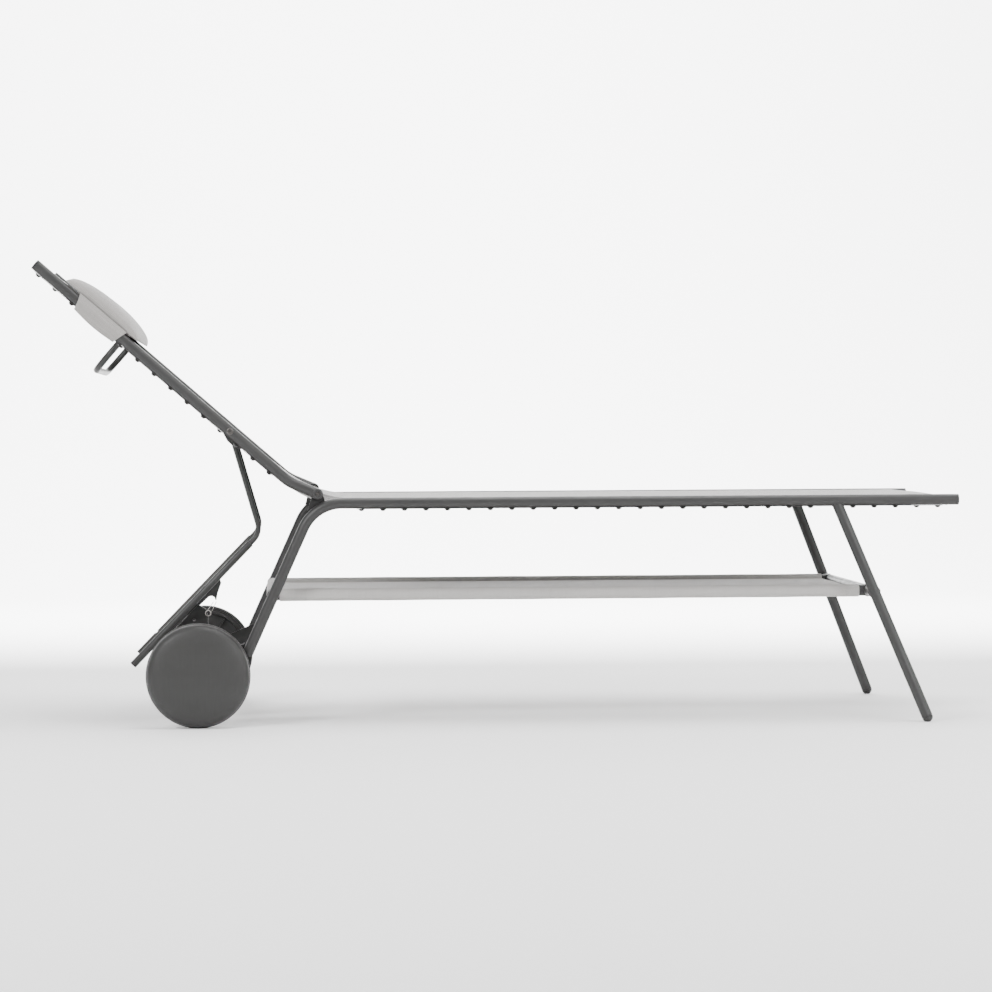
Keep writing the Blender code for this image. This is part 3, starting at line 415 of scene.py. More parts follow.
def add_rod(bm, path, radius, sides=32, start=None, end=None, chamfer=CHAMFER):
    """A round bar along a path. Each end is chamfered, or coped to a cylinder it meets."""
    path = [Vector(p) for p in path]
    along = directions(path)
    places = [(p, d, radius) for p, d in zip(path, along)]
    if not start:
        places[0] = (path[0] + along[0] * chamfer, along[0], radius)
        places.insert(0, (path[0], along[0], radius - chamfer))
    if not end:
        places[-1] = (path[-1] - along[-1] * chamfer, along[-1], radius)
        places.append((path[-1], along[-1], radius - chamfer))
    across = Vector((0, 0, 1))
    rings = []
    for point, direction, size in places:
        if abs(direction.dot(across)) > 0.98:
            across = Vector((direction.z, direction.x, direction.y))
        across = (across - direction * across.dot(direction)).normalized()
        rings.append(ring(bm, point, direction, across, size, sides))
    if start:
        for v in rings[0]:
            v.co = to_surface(v.co, along[0], start)
    if end:
        for v in rings[-1]:
            v.co = to_surface(v.co, -along[-1], end)
    for one, two in zip(rings, rings[1:]):
        bridge(bm, one, two)
    cap(bm, rings[0])
    cap(bm, rings[-1])


def rod(name, path, radius, slot, body, *replaced, **options):
    """A round bar as a piece of its own."""
    bm = bmesh.new()
    add_rod(bm, path, radius, **options)
    return piece(name, bm, slot, body, *replaced)


def add_turned(bm, profile, centre, axis, sides, closed=False):
    """A profile of (radius, distance) turned round an axis. Radius 0 makes a pole."""
    along = Vector(axis).normalized()
    across = Vector((0, 0, 1)) if abs(along.z) < 0.9 else Vector((1, 0, 0))
    rings = []
    for radius, distance in profile:
        place = Vector(centre) + along * distance
        if radius == 0:
            rings.append([bm.verts.new(place)])
        else:
            rings.append(ring(bm, place, along, across, radius, sides))
    pairs = list(zip(rings, rings[1:]))
    if closed:
        pairs.append((rings[-1], rings[0]))
    for one, two in pairs:
        if len(one) == 1 or len(two) == 1:
            pole, rim = (one[0], two) if len(one) == 1 else (two[0], one)
            for i in range(sides):
                bm.faces.new((pole, rim[i], rim[(i + 1) % sides]))
        else:
            bridge(bm, one, two)


def turned(name, profile, centre, axis, sides, slot, body, node, closed=False):
    """A turned shape as a piece of its own."""
    bm = bmesh.new()
    add_turned(bm, profile, centre, axis, sides, closed)
    return piece(name, bm, slot, body, node)


def soft_edge(radius, face, size, inward, step=15):
    """Quarter round from an end face to the side of a turned profile."""
    angles = [radians(a) for a in range(0, 91, step)]
    return [(radius - size + size * sin(a), face + inward * (size - size * cos(a)))
            for a in angles]


def sleeve_profile(bore, radius, start, end, soft, step=15):
    """Closed profile of a sleeve whose outer edges are softened."""
    first = soft_edge(radius, start, soft, 1, step)
    last = soft_edge(radius, end, soft, -1, step)[::-1]
    return [(bore, start)] + first + last + [(bore, end)]


def add_bead(bm, centre, along, radius, cylinder, size=0.0016):
    """A weld bead where a round bar meets a cylinder, with the ripple of its stitches."""
    along = Vector(along).normalized()
    across = Vector((0, 1, 0)) if abs(along.y) < 0.9 else Vector((0, 0, 1))
    other = along.cross(across).normalized()
    first = other.cross(along).normalized()
    count = 48
    path = []
    for i in range(count):
        turn = 2 * pi * i / count
        edge = Vector(centre) + (first * cos(turn) + other * sin(turn)) * radius
        path.append(to_surface(edge, along, cylinder))
    loops = []
    for i, point in enumerate(path):
        direction = (path[(i + 1) % count] - path[i - 1]).normalized()
        ripple = size * (1 + 0.16 * (i % 2))
        loops.append(ring(bm, point, direction, along, ripple, 8))
    loops.append(loops[0])
    for one, two in zip(loops, loops[1:]):
        bridge(bm, one, two)


def arc(centre, radius, start, end, count):
    """Points round a centre in the XZ plane, angles in degrees from +X towards +Z."""
    angles = [radians(start + (end - start) * i / count) for i in range(count + 1)]
    return [centre + Vector((cos(a), 0, sin(a))) * radius for a in angles]


PLATE_EDGE = 0.0006          # rounding of a plate's rims
HOLE_SIDES = 24


def plate(name, node, outline, holes, slot, body):
    """A plate of an outline with round holes, where its CAD node is and as thick."""
    low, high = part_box(node)
    bm = bmesh.new()
    add_plate(bm, outline, holes, low[1], high[1] - low[1])
    piece(name, bm, slot, body, node)


def add_plate(bm, outline, holes, y, thickness):
    """A plate of an outline with round holes, from y towards +Y, its rims slightly rounded."""
    loops = [[Vector((p.x, y, p.z)) for p in outline]]
    for centre, radius in holes:
        place = Vector((centre.x, y, centre.z))
        loops.append(arc(place, radius, 0, 360 - 360 / HOLE_SIDES, HOLE_SIDES - 1))
    edges = []
    for loop in loops:
        verts = [bm.verts.new(p) for p in loop]
        edges += [bm.edges.new((verts[i - 1], verts[i])) for i in range(len(verts))]
    filled = bmesh.ops.triangle_fill(bm, use_beauty=True, use_dissolve=False, edges=edges)
    faces = [f for f in filled["geom"] if isinstance(f, bmesh.types.BMFace)]
    grown = bmesh.ops.extrude_face_region(bm, geom=faces)
    moved = [v for v in grown["geom"] if isinstance(v, bmesh.types.BMVert)]
    bmesh.ops.translate(bm, verts=moved, vec=Vector((0, thickness, 0)))
    bm.normal_update()
    rims = set()
    for v in moved:
        for e in v.link_edges:
            faces_here = e.link_faces
            flat = sum(1 for f in faces_here if abs(f.normal.y) > 0.9)
            if len(faces_here) == 2 and flat == 1:
                rims.add(e)
    for e in edges:
        if e.is_valid and len(e.link_faces) == 2:
            rims.add(e)
    bmesh.ops.bevel(bm, geom=list(rims), offset=PLATE_EDGE, segments=2, profile=0.6,
                    affect="EDGES", clamp_overlap=True)


def rail_cylinder(side, depth=0.0):
    """The seat rail as a cylinder that other tubes meet, drawn in by a depth."""
    return ((0, side * RAIL_Y, RAIL_Z), (1, 0, 0), TUBE - depth)


# ------------------------------------------------------------------ fixed frame
PLUG_HEAD = 0.003            # thickness of an end plug's head
PLUG_EDGE = 0.0015           # its soft rim
PLUG_LENGTH = 0.016
WALL = 0.002                 # of the tubes
RAIL_CHAMFER = 0.0005


def side_frame(side):
    """Seat rail and rear leg, one bent tube, and the plug in its foot end."""
    name = NAMES[side]
    y = side * RAIL_Y
    corners = [
        Vector((FOOT_END - PLUG_HEAD - GAP, y, RAIL_Z)),
        Vector((LEG_CORNER, y, RAIL_Z)),
        leg_point(LEG_END, y),
    ]
    rod(f"side_tube_{name}", rounded_path(corners, LEG_BEND, radians(3)), TUBE,
        "frame_paint", "root", f"side_frame_{name}", chamfer=RAIL_CHAMFER)
    end_plug(f"foot_plug_{name}", Vector((FOOT_END, y, RAIL_Z)), Vector((1, 0, 0)), "root",
             f"foot_end_plug_{name}")


def end_plug(name, face, outward, body, node):
    """Push-in plug: a lipped head with a soft rim and a shallow dish in its face."""
    bore = TUBE - WALL
    lip = 0.0004
    dish = [(0, -0.0007), (TUBE * 0.55, -0.0007), (TUBE * 0.66, -0.0001)]
    stem = [(TUBE, -PLUG_HEAD + lip), (TUBE - lip, -PLUG_HEAD), (bore, -PLUG_HEAD),
            (bore, -PLUG_LENGTH), (0, -PLUG_LENGTH)]
    profile = dish + soft_edge(TUBE, 0, PLUG_EDGE, -1) + stem
    turned(name, profile, face, outward, 40, "plug_plastic", body, node)


def front_leg(side, welds):
    """Splayed front leg, coped to the rail, with its half-round glide."""
    name = NAMES[side]
    foot = front_leg_point(LEG_FOOT.z, side)
    top = front_leg_point(RAIL_Z, side)
    down = (foot - top).normalized()
    cope = rail_cylinder(side, SINK)
    rod(f"front_leg_tube_{name}", [top, foot - down * GAP], TUBE, "frame_paint", "root",
        f"front_leg_{name}", start=cope)
    add_bead(welds, top, down, TUBE, rail_cylinder(side))
    bm = bmesh.new()
    dome = [(TUBE * cos(radians(a)), TUBE * sin(radians(a))) for a in range(0, 90, 6)]
    bore = TUBE - WALL
    stem = -0.02
    add_turned(bm, [(0, TUBE)] + dome[::-1] + [(bore, 0), (bore, stem), (0, stem)],
               foot, down, 40)
    geom = bm.verts[:] + bm.edges[:] + bm.faces[:]
    sliced = bmesh.ops.bisect_plane(bm, geom=geom, plane_co=(0, 0, 0), plane_no=(0, 0, -1),
                                    clear_outer=True)
    rim = [e for e in sliced["geom_cut"] if isinstance(e, bmesh.types.BMEdge)]
    bmesh.ops.contextual_create(bm, geom=rim)
    piece(f"leg_glide_{name}", bm, "plug_plastic", "root", f"foot_glide_{name}")


def leg_cylinder(side, depth=0.0):
    """A front leg as a cylinder."""
    one = front_leg_point(RAIL_Z, side)
    return (one, front_leg_point(0, side) - one, TUBE - depth)


def rear_leg_cylinder(side, depth=0.0):
    """A rear leg as a cylinder."""
    one = leg_point(RAIL_Z, side * RAIL_Y)
    return (one, leg_point(0, side * RAIL_Y) - one, TUBE - depth)


def crossbar(name, node, ends, radius, coper, welds):
    """A straight tube between the two sides, coped and welded to them."""
    rod(name, ends, radius, "frame_paint", "root", node,
        start=coper(LEFT, SINK), end=coper(RIGHT, SINK))
    across = Vector((0, 1, 0))
    add_bead(welds, ends[0], across, radius, coper(LEFT))
    add_bead(welds, ends[1], -across, radius, coper(RIGHT))


def crossbars(welds):
    """Tubes across the frame at the foot end, between the front legs and the rear legs."""
    ends = [Vector((FOOT_BAR.x, side * RAIL_Y, FOOT_BAR.z)) for side in SIDES]
    crossbar("foot_bar", "foot_crossbar", ends, BAR, rail_cylinder, welds)
    ends = [front_leg_point(SHELF_Z, side) for side in SIDES]
    crossbar("front_bar", "front_crossbar", ends, TUBE, leg_cylinder, welds)
    ends = [leg_point(SHELF_Z, side * RAIL_Y) for side in SIDES]
    crossbar("rear_bar", "rear_crossbar", ends, TUBE, rear_leg_cylinder, welds)


def shelf_tubes(welds):
    """Side tubes of the shelf, coped to the crossbars."""
    front = front_leg_point(SHELF_Z, RIGHT)
    rear = leg_point(SHELF_Z, 0)
    for side in SIDES:
        y = side * SHELF_Y
        ends = [Vector((rear.x, y, SHELF_Z)), Vector((front.x, y, SHELF_Z))]
        copes = [((x, 0, SHELF_Z), (0, 1, 0), TUBE - SINK) for x in (rear.x, front.x)]
        rod(f"shelf_bar_{NAMES[side]}", ends, TUBE, "frame_paint", "root",
            f"shelf_tube_{NAMES[side]}", start=copes[0], end=copes[1])
        add_bead(welds, ends[1], Vector((-1, 0, 0)), TUBE, ((front.x, 0, SHELF_Z), (0, 1, 0), TUBE))


# ------------------------------------------------------------------ studs
STUD_PITCH = 0.0431
SEAT_STUDS = 28
BACK_STUDS = 15
SEAT_STUD_INSET = 0.0427     # first stud, from the rail's foot end
BACK_STUD_INSET = 0.020      # first stud, from the back rail's top end
STUD_FLANGE = 0.0062         # radius of a stud's flange
STUD_DOME = 0.0052           # radius of its dome
STUD_FOOT = 0.0009           # height at which the dome starts
STUD_RISE = 0.0032           # height of the dome over that
STRIP = 0.0008
STRIP_EDGE = 0.0004
STRIP_OVERHANG = 0.010       # beyond the last stud
STRIP_WIDTH = 0.008
LEG_SPACE = 0.014            # half the break in the strip at a front leg
CLOTH = 0.0009               # thickness of the coated fabric


def add_stud(bm, place, down):
    """A snap stud: thin flange, round dome and a small dimple in its crown."""
    dome = [(STUD_DOME * cos(radians(a)), STUD_FOOT + STUD_RISE * sin(radians(a)))
            for a in range(0, 76, 15)]
    flange = [(0, -0.0002), (STUD_FLANGE - 0.0004, -0.0002), (STUD_FLANGE, 0.0002),
              (STUD_FLANGE, 0.0006), (STUD_FLANGE - 0.0006, STUD_FOOT)]
    dimple = [(0.0009, 0.0040), (0, 0.0038)]
    profile = flange + dome + dimple
    add_turned(bm, profile, place, down, 20)


def add_strip(bm, start, end, down):
    """The plastic strip that the studs press the sling's edge to, with softened edges."""
    along = (end - start).normalized()
    across = along.cross(down)
    half = STRIP_WIDTH / 2
    section = [(-half, 0), (-half, STRIP * 0.6), (-half + STRIP_EDGE, STRIP),
               (half - STRIP_EDGE, STRIP), (half, STRIP * 0.6), (half, 0)]
    loops = []
    for place in (start, end):
        loops.append([bm.verts.new(place + across * a + down * (d + GAP)) for a, d in section])
        bm.faces.new(loops[-1])
    bridge(bm, loops[0], loops[1])


def stud_row(name, node, first, run, down, count, body, leg=None):
    """A strip with studs under one rail, broken where a leg joins the rail."""
    bm = bmesh.new()
    last = first + run * (STUD_PITCH * (count - 1) + STRIP_OVERHANG)
    ends = [first - run * STRIP_OVERHANG, last]
    if leg:
        ends[1:1] = [leg - run * LEG_SPACE, leg + run * LEG_SPACE]
    for start, end in zip(ends[::2], ends[1::2]):
        add_strip(bm, start, end, down)
    for i in range(count):
        place = first + run * STUD_PITCH * i
        if not leg or abs((place - leg).dot(run)) > LEG_SPACE:
            add_stud(bm, place + down * (STRIP + GAP), down)
    piece(name, bm, "stud_plastic", body, node)


def stud_rows():
    """Studs under both seat rails and both back rails."""
    for side in SIDES:
        name = NAMES[side]
        y = side * RAIL_Y
        first = Vector((FOOT_END - SEAT_STUD_INSET, y, RAIL_Z - TUBE))
        leg = Vector((LEG_TOP.x, y, RAIL_Z - TUBE))
        stud_row(f"seat_stud_row_{name}", f"seat_studs_{name}", first, Vector((-1, 0, 0)),
                 Vector((0, 0, -1)), SEAT_STUDS, "root", leg)
        first = back_point(BACK_LENGTH - BACK_STUD_INSET, RAIL_DEPTH - TUBE, y)
        stud_row(f"back_stud_row_{name}", f"back_studs_{name}", first, -BACK_UP, -BACK_OUT,
                 BACK_STUDS, "back")


# ------------------------------------------------------------------ back frame
KINK_SLOPE = radians(18)     # of a back rail's first stretch, from the line of the rest
KINK_BEND = 0.10
KNUCKLE_EDGE = 0.003
BOLT = 0.004                 # radius of the hinge bolts
BOLT_EDGE = 0.0072           # radius of their nuts' corners
SCREW = 0.003                # radius of the prop lugs' screws and of the latch's pin
SCREW_EDGE = 0.0055
NUT_FACE = RAIL_Y - TUBE - 0.0058        # where every nut ends, inside the lugs


def back_rail(side):
    """Back rail with its kinked stretch, the round knuckle at the hinge, and its top plug."""
    name = NAMES[side]
    y = side * RAIL_Y
    kink = -RAIL_DEPTH / tan(KINK_SLOPE)
    face = back_point(BACK_LENGTH, RAIL_DEPTH, y)
    corners = [back_point(0, 0, y), back_point(kink, RAIL_DEPTH, y),
               face - BACK_UP * (PLUG_HEAD + GAP)]
    rod(f"back_tube_{name}", rounded_path(corners, KINK_BEND, radians(2)), TUBE, "frame_paint",
        "back", f"back_rail_{name}", start=(HINGE + Vector((0, y, 0)), (0, 1, 0), TUBE - SINK),
        chamfer=RAIL_CHAMFER)
    end_plug(f"back_plug_{name}", face, BACK_UP, "back", f"back_end_plug_{name}")
    profile = sleeve_profile(BOLT + GAP, TUBE, RAIL_Y - TUBE, RAIL_Y + TUBE, KNUCKLE_EDGE)
    turned(f"hinge_knuckle_{name}", profile, HINGE, (0, side, 0), 40, "frame_paint", "back",
           f"back_knuckle_{name}", closed=True)


def hinge_parts(side):
    """Lug plate on the seat rail and the bolt through it, with a round head and a nut."""
    name = NAMES[side]
    outline = arc(HINGE, TUBE, -10, 190, 16)
    outline.append(Vector((HINGE.x - 0.020, 0, RAIL_Z - 0.016)))
    outline.append(Vector((HINGE.x + 0.018, 0, RAIL_Z - 0.006)))
    plate(f"hinge_plate_{name}", f"hinge_lug_{name}", outline, [(HINGE, BOLT + GAP)],
          "fitting_paint", "root")
    outer = RAIL_Y + TUBE
    tip = NUT_FACE - 0.006
    head = [(0, outer - 0.0012), (0.0022, outer - 0.0012), (0.0026, outer - 0.0004),
            (0.0034, outer - 0.0006), (BOLT, outer - 0.0014)]
    bm = bmesh.new()
    add_turned(bm, head + [(BOLT, NUT_FACE), (BOLT, tip), (0, tip)], HINGE, (0, side, 0), 24)
    add_nut(bm, HINGE, side, BOLT_EDGE, 0.005)
    piece(f"hinge_screw_{name}", bm, "bolt_steel", "root", f"hinge_bolt_{name}")


def add_nut(bm, centre, side, radius, height):
    """A hexagon nut inside a lug, with its corners turned down."""
    bore = 0.0041
    end = NUT_FACE - height
    profile = [(bore, NUT_FACE), (radius * 0.9, NUT_FACE), (radius, NUT_FACE - height * 0.15),
               (radius, NUT_FACE - height * 0.85), (radius * 0.9, end), (bore, end)]
    add_turned(bm, profile, centre, (0, side, 0), 6, closed=True)


def back_cylinder(side, depth=0.0):
    """A back rail as a cylinder."""
    return (back_point(BACK_LENGTH, RAIL_DEPTH, side * RAIL_Y), BACK_UP, TUBE - depth)


BACK_BEAD = 0.0013           # thickness of the weld beads on the back
HANDLE = 0.0065              # radius of the push handle's bar
HANDLE_ALONG = 0.499         # from the hinge, along the back
HANDLE_Y = 0.256             # where it turns down on each side
HANDLE_TOP = -0.0225         # depth of its ends under the hinge line
HANDLE_LOW = -0.101          # depth of its grip
HANDLE_TOP_BEND = 0.020
HANDLE_LOW_BEND = 0.045


def back_bars(welds):
    """The bar in the top hem and the push handle."""
    place = middle("back_top_crossbar")
    ends = [Vector((place.x, side * RAIL_Y, place.z)) for side in SIDES]
    rod("back_top_bar", ends, BAR, "frame_paint", "back", "back_top_crossbar",
        start=back_cylinder(LEFT, SINK), end=back_cylinder(RIGHT, SINK))
    shape = [(-RAIL_Y, HANDLE_TOP), (-HANDLE_Y, HANDLE_TOP), (-HANDLE_Y, HANDLE_LOW),
             (HANDLE_Y, HANDLE_LOW), (HANDLE_Y, HANDLE_TOP), (RAIL_Y, HANDLE_TOP)]
    corners = [back_point(HANDLE_ALONG, depth, y) for y, depth in shape]
    bends = (HANDLE_TOP_BEND, HANDLE_LOW_BEND, HANDLE_LOW_BEND, HANDLE_TOP_BEND)
    rod("push_handle", rounded_path(corners, bends, radians(6)), HANDLE, "frame_paint", "back",
        "handle_bar", start=back_cylinder(LEFT, SINK), end=back_cylinder(RIGHT, SINK))
    across = Vector((0, 1, 0))
    for bar_ends, radius in ((ends, BAR), ((corners[0], corners[-1]), HANDLE)):
        add_bead(welds, bar_ends[0], across, radius, back_cylinder(LEFT), BACK_BEAD)
        add_bead(welds, bar_ends[1], -across, radius, back_cylinder(RIGHT), BACK_BEAD)


# ------------------------------------------------------------------ prop
LUG_SCREW = back_point(0.214, RAIL_DEPTH, 0)
PROP_TUBE = span("prop_top_tube").z / 2
PROP_ROD = 0.0055            # radius of the bent rods
PROP_BEND = 0.035
PROP_BEAD = 0.0011
SLIDE = span("prop_slide_left").y / 2
SLIDE_START = 0.030          # along the lower bar from its elbow
SLIDE_END = (PROP_END - PROP_ELBOW).length
SLIDE_EDGE = 0.001
NOTCH = SLIDE_END - 0.059    # the notch that the latch drops into
NOTCH_RADIUS = 0.0035


def prop_lug(side):
    """Lug plate inside the back rail, with a hole for the prop's pivot, and its screw through the rail."""
    name = NAMES[side]
    shape = [(0.226, -0.014), (0.228, -0.022), (0.220, -0.032), (0.205, -0.0375),
             (0.188, -0.0375), (0.176, -0.033), (0.168, -0.026), (0.170, -0.014)]
    outline = [back_point(along, depth, 0) for along, depth in shape]
    holes = [(LUG_SCREW, SCREW + GAP), (PROP_PIVOT, SCREW + GAP)]
    plate(f"prop_lug_plate_{name}", f"prop_lug_{name}", outline, holes, "frame_paint", "back")
    head = RAIL_Y + TUBE + GAP
    wide = 0.007
    tip = NUT_FACE - 0.0032
    dome = [(wide * cos(radians(a)), head + 0.0007 + 0.0016 * sin(radians(a)))
            for a in range(0, 61, 12)]
    profile = [(0, head + 0.0010), (0.0022, head + 0.0010), (0.0026, head + 0.0021)]
    profile += dome[::-1] + [(wide, head), (SCREW, head), (SCREW, tip), (0, tip)]
    bm = bmesh.new()
    add_turned(bm, profile, LUG_SCREW, (0, side, 0), 32)
    add_nut(bm, LUG_SCREW, side, SCREW_EDGE, 0.003)
    piece(f"lug_screw_{name}", bm, "bolt_steel", "back", f"prop_lug_screw_{name}")


def prop(welds):
    """Top tube, bent rods and slide tubes of the prop."""
    reach = span("prop_top_tube").y / 2
    ends = [PROP_PIVOT + Vector((0, side * reach - PROP_PIVOT.y, 0)) for side in SIDES]
    rod("prop_cross_tube", ends, PROP_TUBE, "fitting_paint", "prop", "prop_top_tube")
    for side in SIDES:
        name = NAMES[side]
        y = side * PROP_Y
        top = Vector((PROP_PIVOT.x, y, PROP_PIVOT.z))
        corners = [top, slide_point(0, 0, y), slide_point(SLIDE_END - 0.002, 0, y)]
        rod(f"prop_rod_{name}", rounded_path(corners, PROP_BEND, radians(4)), PROP_ROD,
            "frame_paint", "prop", f"prop_arm_{name}",
            start=(top, (0, 1, 0), PROP_TUBE - SINK), sides=24)
        add_bead(welds, top, corners[1] - top, PROP_ROD, (top, (0, 1, 0), PROP_TUBE), PROP_BEAD)
        slide_tube(side, y, name)


def slide_tube(side, y, name):
    """Sleeve round the prop's lower bar. The right one has the stop notch near its end."""
    profile = sleeve_profile(PROP_ROD + GAP, SLIDE, SLIDE_START, SLIDE_END, SLIDE_EDGE, 30)
    sleeve = turned(f"slide_tube_{name}", profile, slide_point(0, 0, y), PROP_RUN, 40,
                    "frame_paint", "prop", f"prop_slide_{name}", closed=True)
    if side == RIGHT:
        place = slide_point(NOTCH, -SLIDE, y)
        reach = Vector((0, SLIDE * 2, 0))
        bm = bmesh.new()
        add_rod(bm, [place - reach, place + reach], NOTCH_RADIUS, 24)
        cut_out(sleeve, bm)


def cut_out(obj, bm):
    """Take a bmesh's volume out of an object and apply the cut."""
    bmesh.ops.recalc_face_normals(bm, faces=bm.faces)
    mesh = bpy.data.meshes.new("cutter")
    bm.to_mesh(mesh)
    bm.free()
    cutter = bpy.data.objects.new("cutter", mesh)
    bpy.context.scene.collection.objects.link(cutter)
    boolean = obj.modifiers.new("cut", "BOOLEAN")
    boolean.operation = "DIFFERENCE"
    boolean.object = cutter
    bake(obj)
    bpy.data.objects.remove(cutter)


def bake(obj):
    """Replace an object's mesh by its evaluated one, with no modifiers left."""
    bpy.context.view_layer.update()
    graph = bpy.context.evaluated_depsgraph_get()
    mesh = bpy.data.meshes.new_from_object(obj.evaluated_get(graph))
    obj.modifiers.clear()
    obj.data = mesh


# ------------------------------------------------------------------ axle, brackets and latch
AXLE_TUBE = span("axle_tube").z / 2
AXLE_HOLE = AXLE_TUBE + 0.0002           # in the plates round the axle tube


def axle_group(welds):
    """Axle tube, rod, and the plates from the rear legs to it."""
    reach = span("axle_tube").y / 2
    ends = [Vector((AXLE.x, side * reach, AXLE.z)) for side in SIDES]
    rod("axle_sleeve", ends, AXLE_TUBE, "fitting_paint", "root", "axle_tube")
    tip = span("axle_rod").y / 2
    half = [(0.006, tip - 0.002), (0.0112, tip - 0.002), (0.012, tip - 0.0014),
            (0.0105, tip - 0.0004), (0, tip)]
    turned("axle_shaft", [(r, -d) for r, d in half[::-1]] + half, (AXLE.x, 0, AXLE.z),
           (0, 1, 0), 32, "bolt_steel", "root", "axle_rod")
    for side in SIDES:
        name = NAMES[side]
        outline = arc(AXLE, 0.018, 110, 290, 16)
        outline += arc(leg_point(LEG_END + 0.006, 0), 0.009, -70, 20, 6)
        outline += arc(leg_point(LEG_END + 0.020, 0), 0.008, 0, 120, 6)
        plate(f"axle_plate_{name}", f"axle_bracket_{name}", outline, [(AXLE, AXLE_HOLE)],
              "fitting_paint", "root")
        face = (Vector((AXLE.x, side * 0.3, AXLE.z)), (1, 0, 0), 0.0035)
        add_bead(welds, Vector((AXLE.x, side * RAIL_Y, AXLE.z)), Vector((0, -side, 0)), AXLE_HOLE,
                 face, PROP_BEAD)


def guide_outline(top):
    """Guide plate: along the prop's bar on one side, and round the axle tube below."""
    outline = [slide_point(0.2857, 0.0108, 0), slide_point(top, 0.0108, 0),
               slide_point(top - 0.004, 0.0313, 0), slide_point(top + 0.006, 0.0443, 0)]
    return outline + arc(AXLE, 0.017, 20, -180, 20)


def latch():
    """Guide plates, the latch's lever, its pin and its torsion spring."""
    axle_hole = (AXLE, AXLE_HOLE)
    pin_hole = (LATCH_PIVOT, SCREW + GAP)
    plate("latch_plate", "latch_bracket", guide_outline(0.1937), [axle_hole, pin_hole],
          "fitting_paint", "root")
    plate("guide_plate", "guide_bracket", guide_outline(0.2117), [axle_hole],
          "fitting_paint", "root")
    low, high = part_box("latch_pin")
    bore = SCREW / 2
    soft = 0.0002
    profile = [(bore, low[1]), (SCREW - soft, low[1]), (SCREW, low[1] + soft),
               (SCREW, high[1] - soft), (SCREW - soft, high[1]), (bore, high[1])]
    turned("latch_tube_pin", profile, (LATCH_PIVOT.x, 0, LATCH_PIVOT.z), (0, 1, 0), 24,
           "fitting_paint", "root", "latch_pin", closed=True)
    edge = 0.0040
    shape = [(0.1247, edge), (0.1299, 0.0141), (0.1504, 0.0235), (0.1622, 0.0313),
             (0.1639, 0.0291), (0.1609, 0.0250), (0.1622, 0.0195), (0.1667, 0.0156),
             (0.1945, 0.0140), (0.2087, 0.0176)]
    outline = [slide_point(along, off, 0) for along, off in shape]
    outline += arc(LATCH_PIVOT, 0.009, 40, -150, 12)
    outline += [slide_point(0.2287, 0.0113, 0), slide_point(0.2207, edge, 0)]
    plate("latch_lever", "latch_hook", outline, [pin_hole], "fitting_paint", "latch")
    spring()


def spring():
    """Torsion spring: a leg hooked over the lever, two and a half turns, and a second leg."""
    low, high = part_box("latch_spring")
    coil = slide_point(0.1927, 0.0373, 0)
    tip = slide_point(0.1657, 0.0318, 0)
    wire = 0.0008
    y_start = low[1] + wire
    y_end = high[1] - wire
    radius = 0.0055
    turns = 2.5
    count = 72
    path = [Vector((tip.x - 0.004, y_start, tip.z))]
    for i in range(count + 1):
        turn = pi - 2 * pi * turns * i / count
        y = y_start + (y_end - y_start) * i / count
        path.append(Vector((coil.x + radius * cos(turn), y, coil.z + radius * sin(turn))))
    path.append(Vector((tip.x + 0.002, y_end, tip.z)))
    rod("latch_coil", path, wire, "spring_steel", "root", "latch_spring", sides=10,
        chamfer=0.0002)


# ------------------------------------------------------------------ wheels
RIBS = 12
RIB = 0.0022                 # thickness of a rib at its foot
GROOVES = (-0.0140, -0.0070, 0.0)        # round the tyre, from its middle plane
GROOVE_DEPTH = 0.0011


def wheel(side):
    """Ribbed core with hub and rim, grooved tyre and domed cover."""
    name = NAMES[side]
    body = f"wheel_{name}"
    centre = Vector((AXLE.x, side * WHEEL_Y, AXLE.z))
    axis = Vector((0, side, 0))
    wheel_core(f"wheel_hub_{name}", body, centre, axis, f"wheel_core_{name}")
    groove = []
    for at in GROOVES:
        groove += [(WHEEL, at - 0.0012), (WHEEL - GROOVE_DEPTH, at - 0.0004),
                   (WHEEL - GROOVE_DEPTH, at + 0.0004), (WHEEL, at + 0.0012)]
    profile = [(0.0980, -0.0205), (0.1012, -0.0220), (0.1030, -0.0208), (WHEEL, -0.0185)]
    profile += groove + [(WHEEL - 0.0006, 0.0028), (0.1026, 0.0045), (0.1010, 0.0055),
                         (0.0980, 0.0050)]
    turned(f"tyre_{name}", profile, centre, axis, 128, "tyre_rubber", body,
           f"wheel_tyre_{name}", closed=True)
    turned(f"wheel_cap_{name}", cover_profile(), centre, axis, 128, "wheel_plastic", body,
           f"wheel_cover_{name}")


def wheel_core(name, body, centre, axis, node):
    """Hub, thin web and rim, with ribs on the side towards the frame."""
    bm = bmesh.new()
    profile = [(0.0063, -0.0225), (0.0150, -0.0225), (0.0160, -0.0215), (0.0172, -0.0090),
               (0.0190, -0.0078), (0.0850, -0.0062), (0.0875, -0.0078), (0.0895, -0.0215),
               (0.0905, -0.0220), (0.0968, -0.0220), (0.0975, -0.0213), (0.0975, 0.0040),
               (0.0860, 0.0020), (0.0180, 0.0020), (0.0160, 0.0100), (0.0063, 0.0100)]
    add_turned(bm, profile, centre, axis, 96, closed=True)
    for i in range(RIBS):
        turn = 2 * pi * i / RIBS
        out = Vector((cos(turn), 0, sin(turn)))
        wide = out.cross(axis)
        add_rib(bm, centre, axis, out, wide)
    piece(name, bm, "wheel_plastic", body, node)


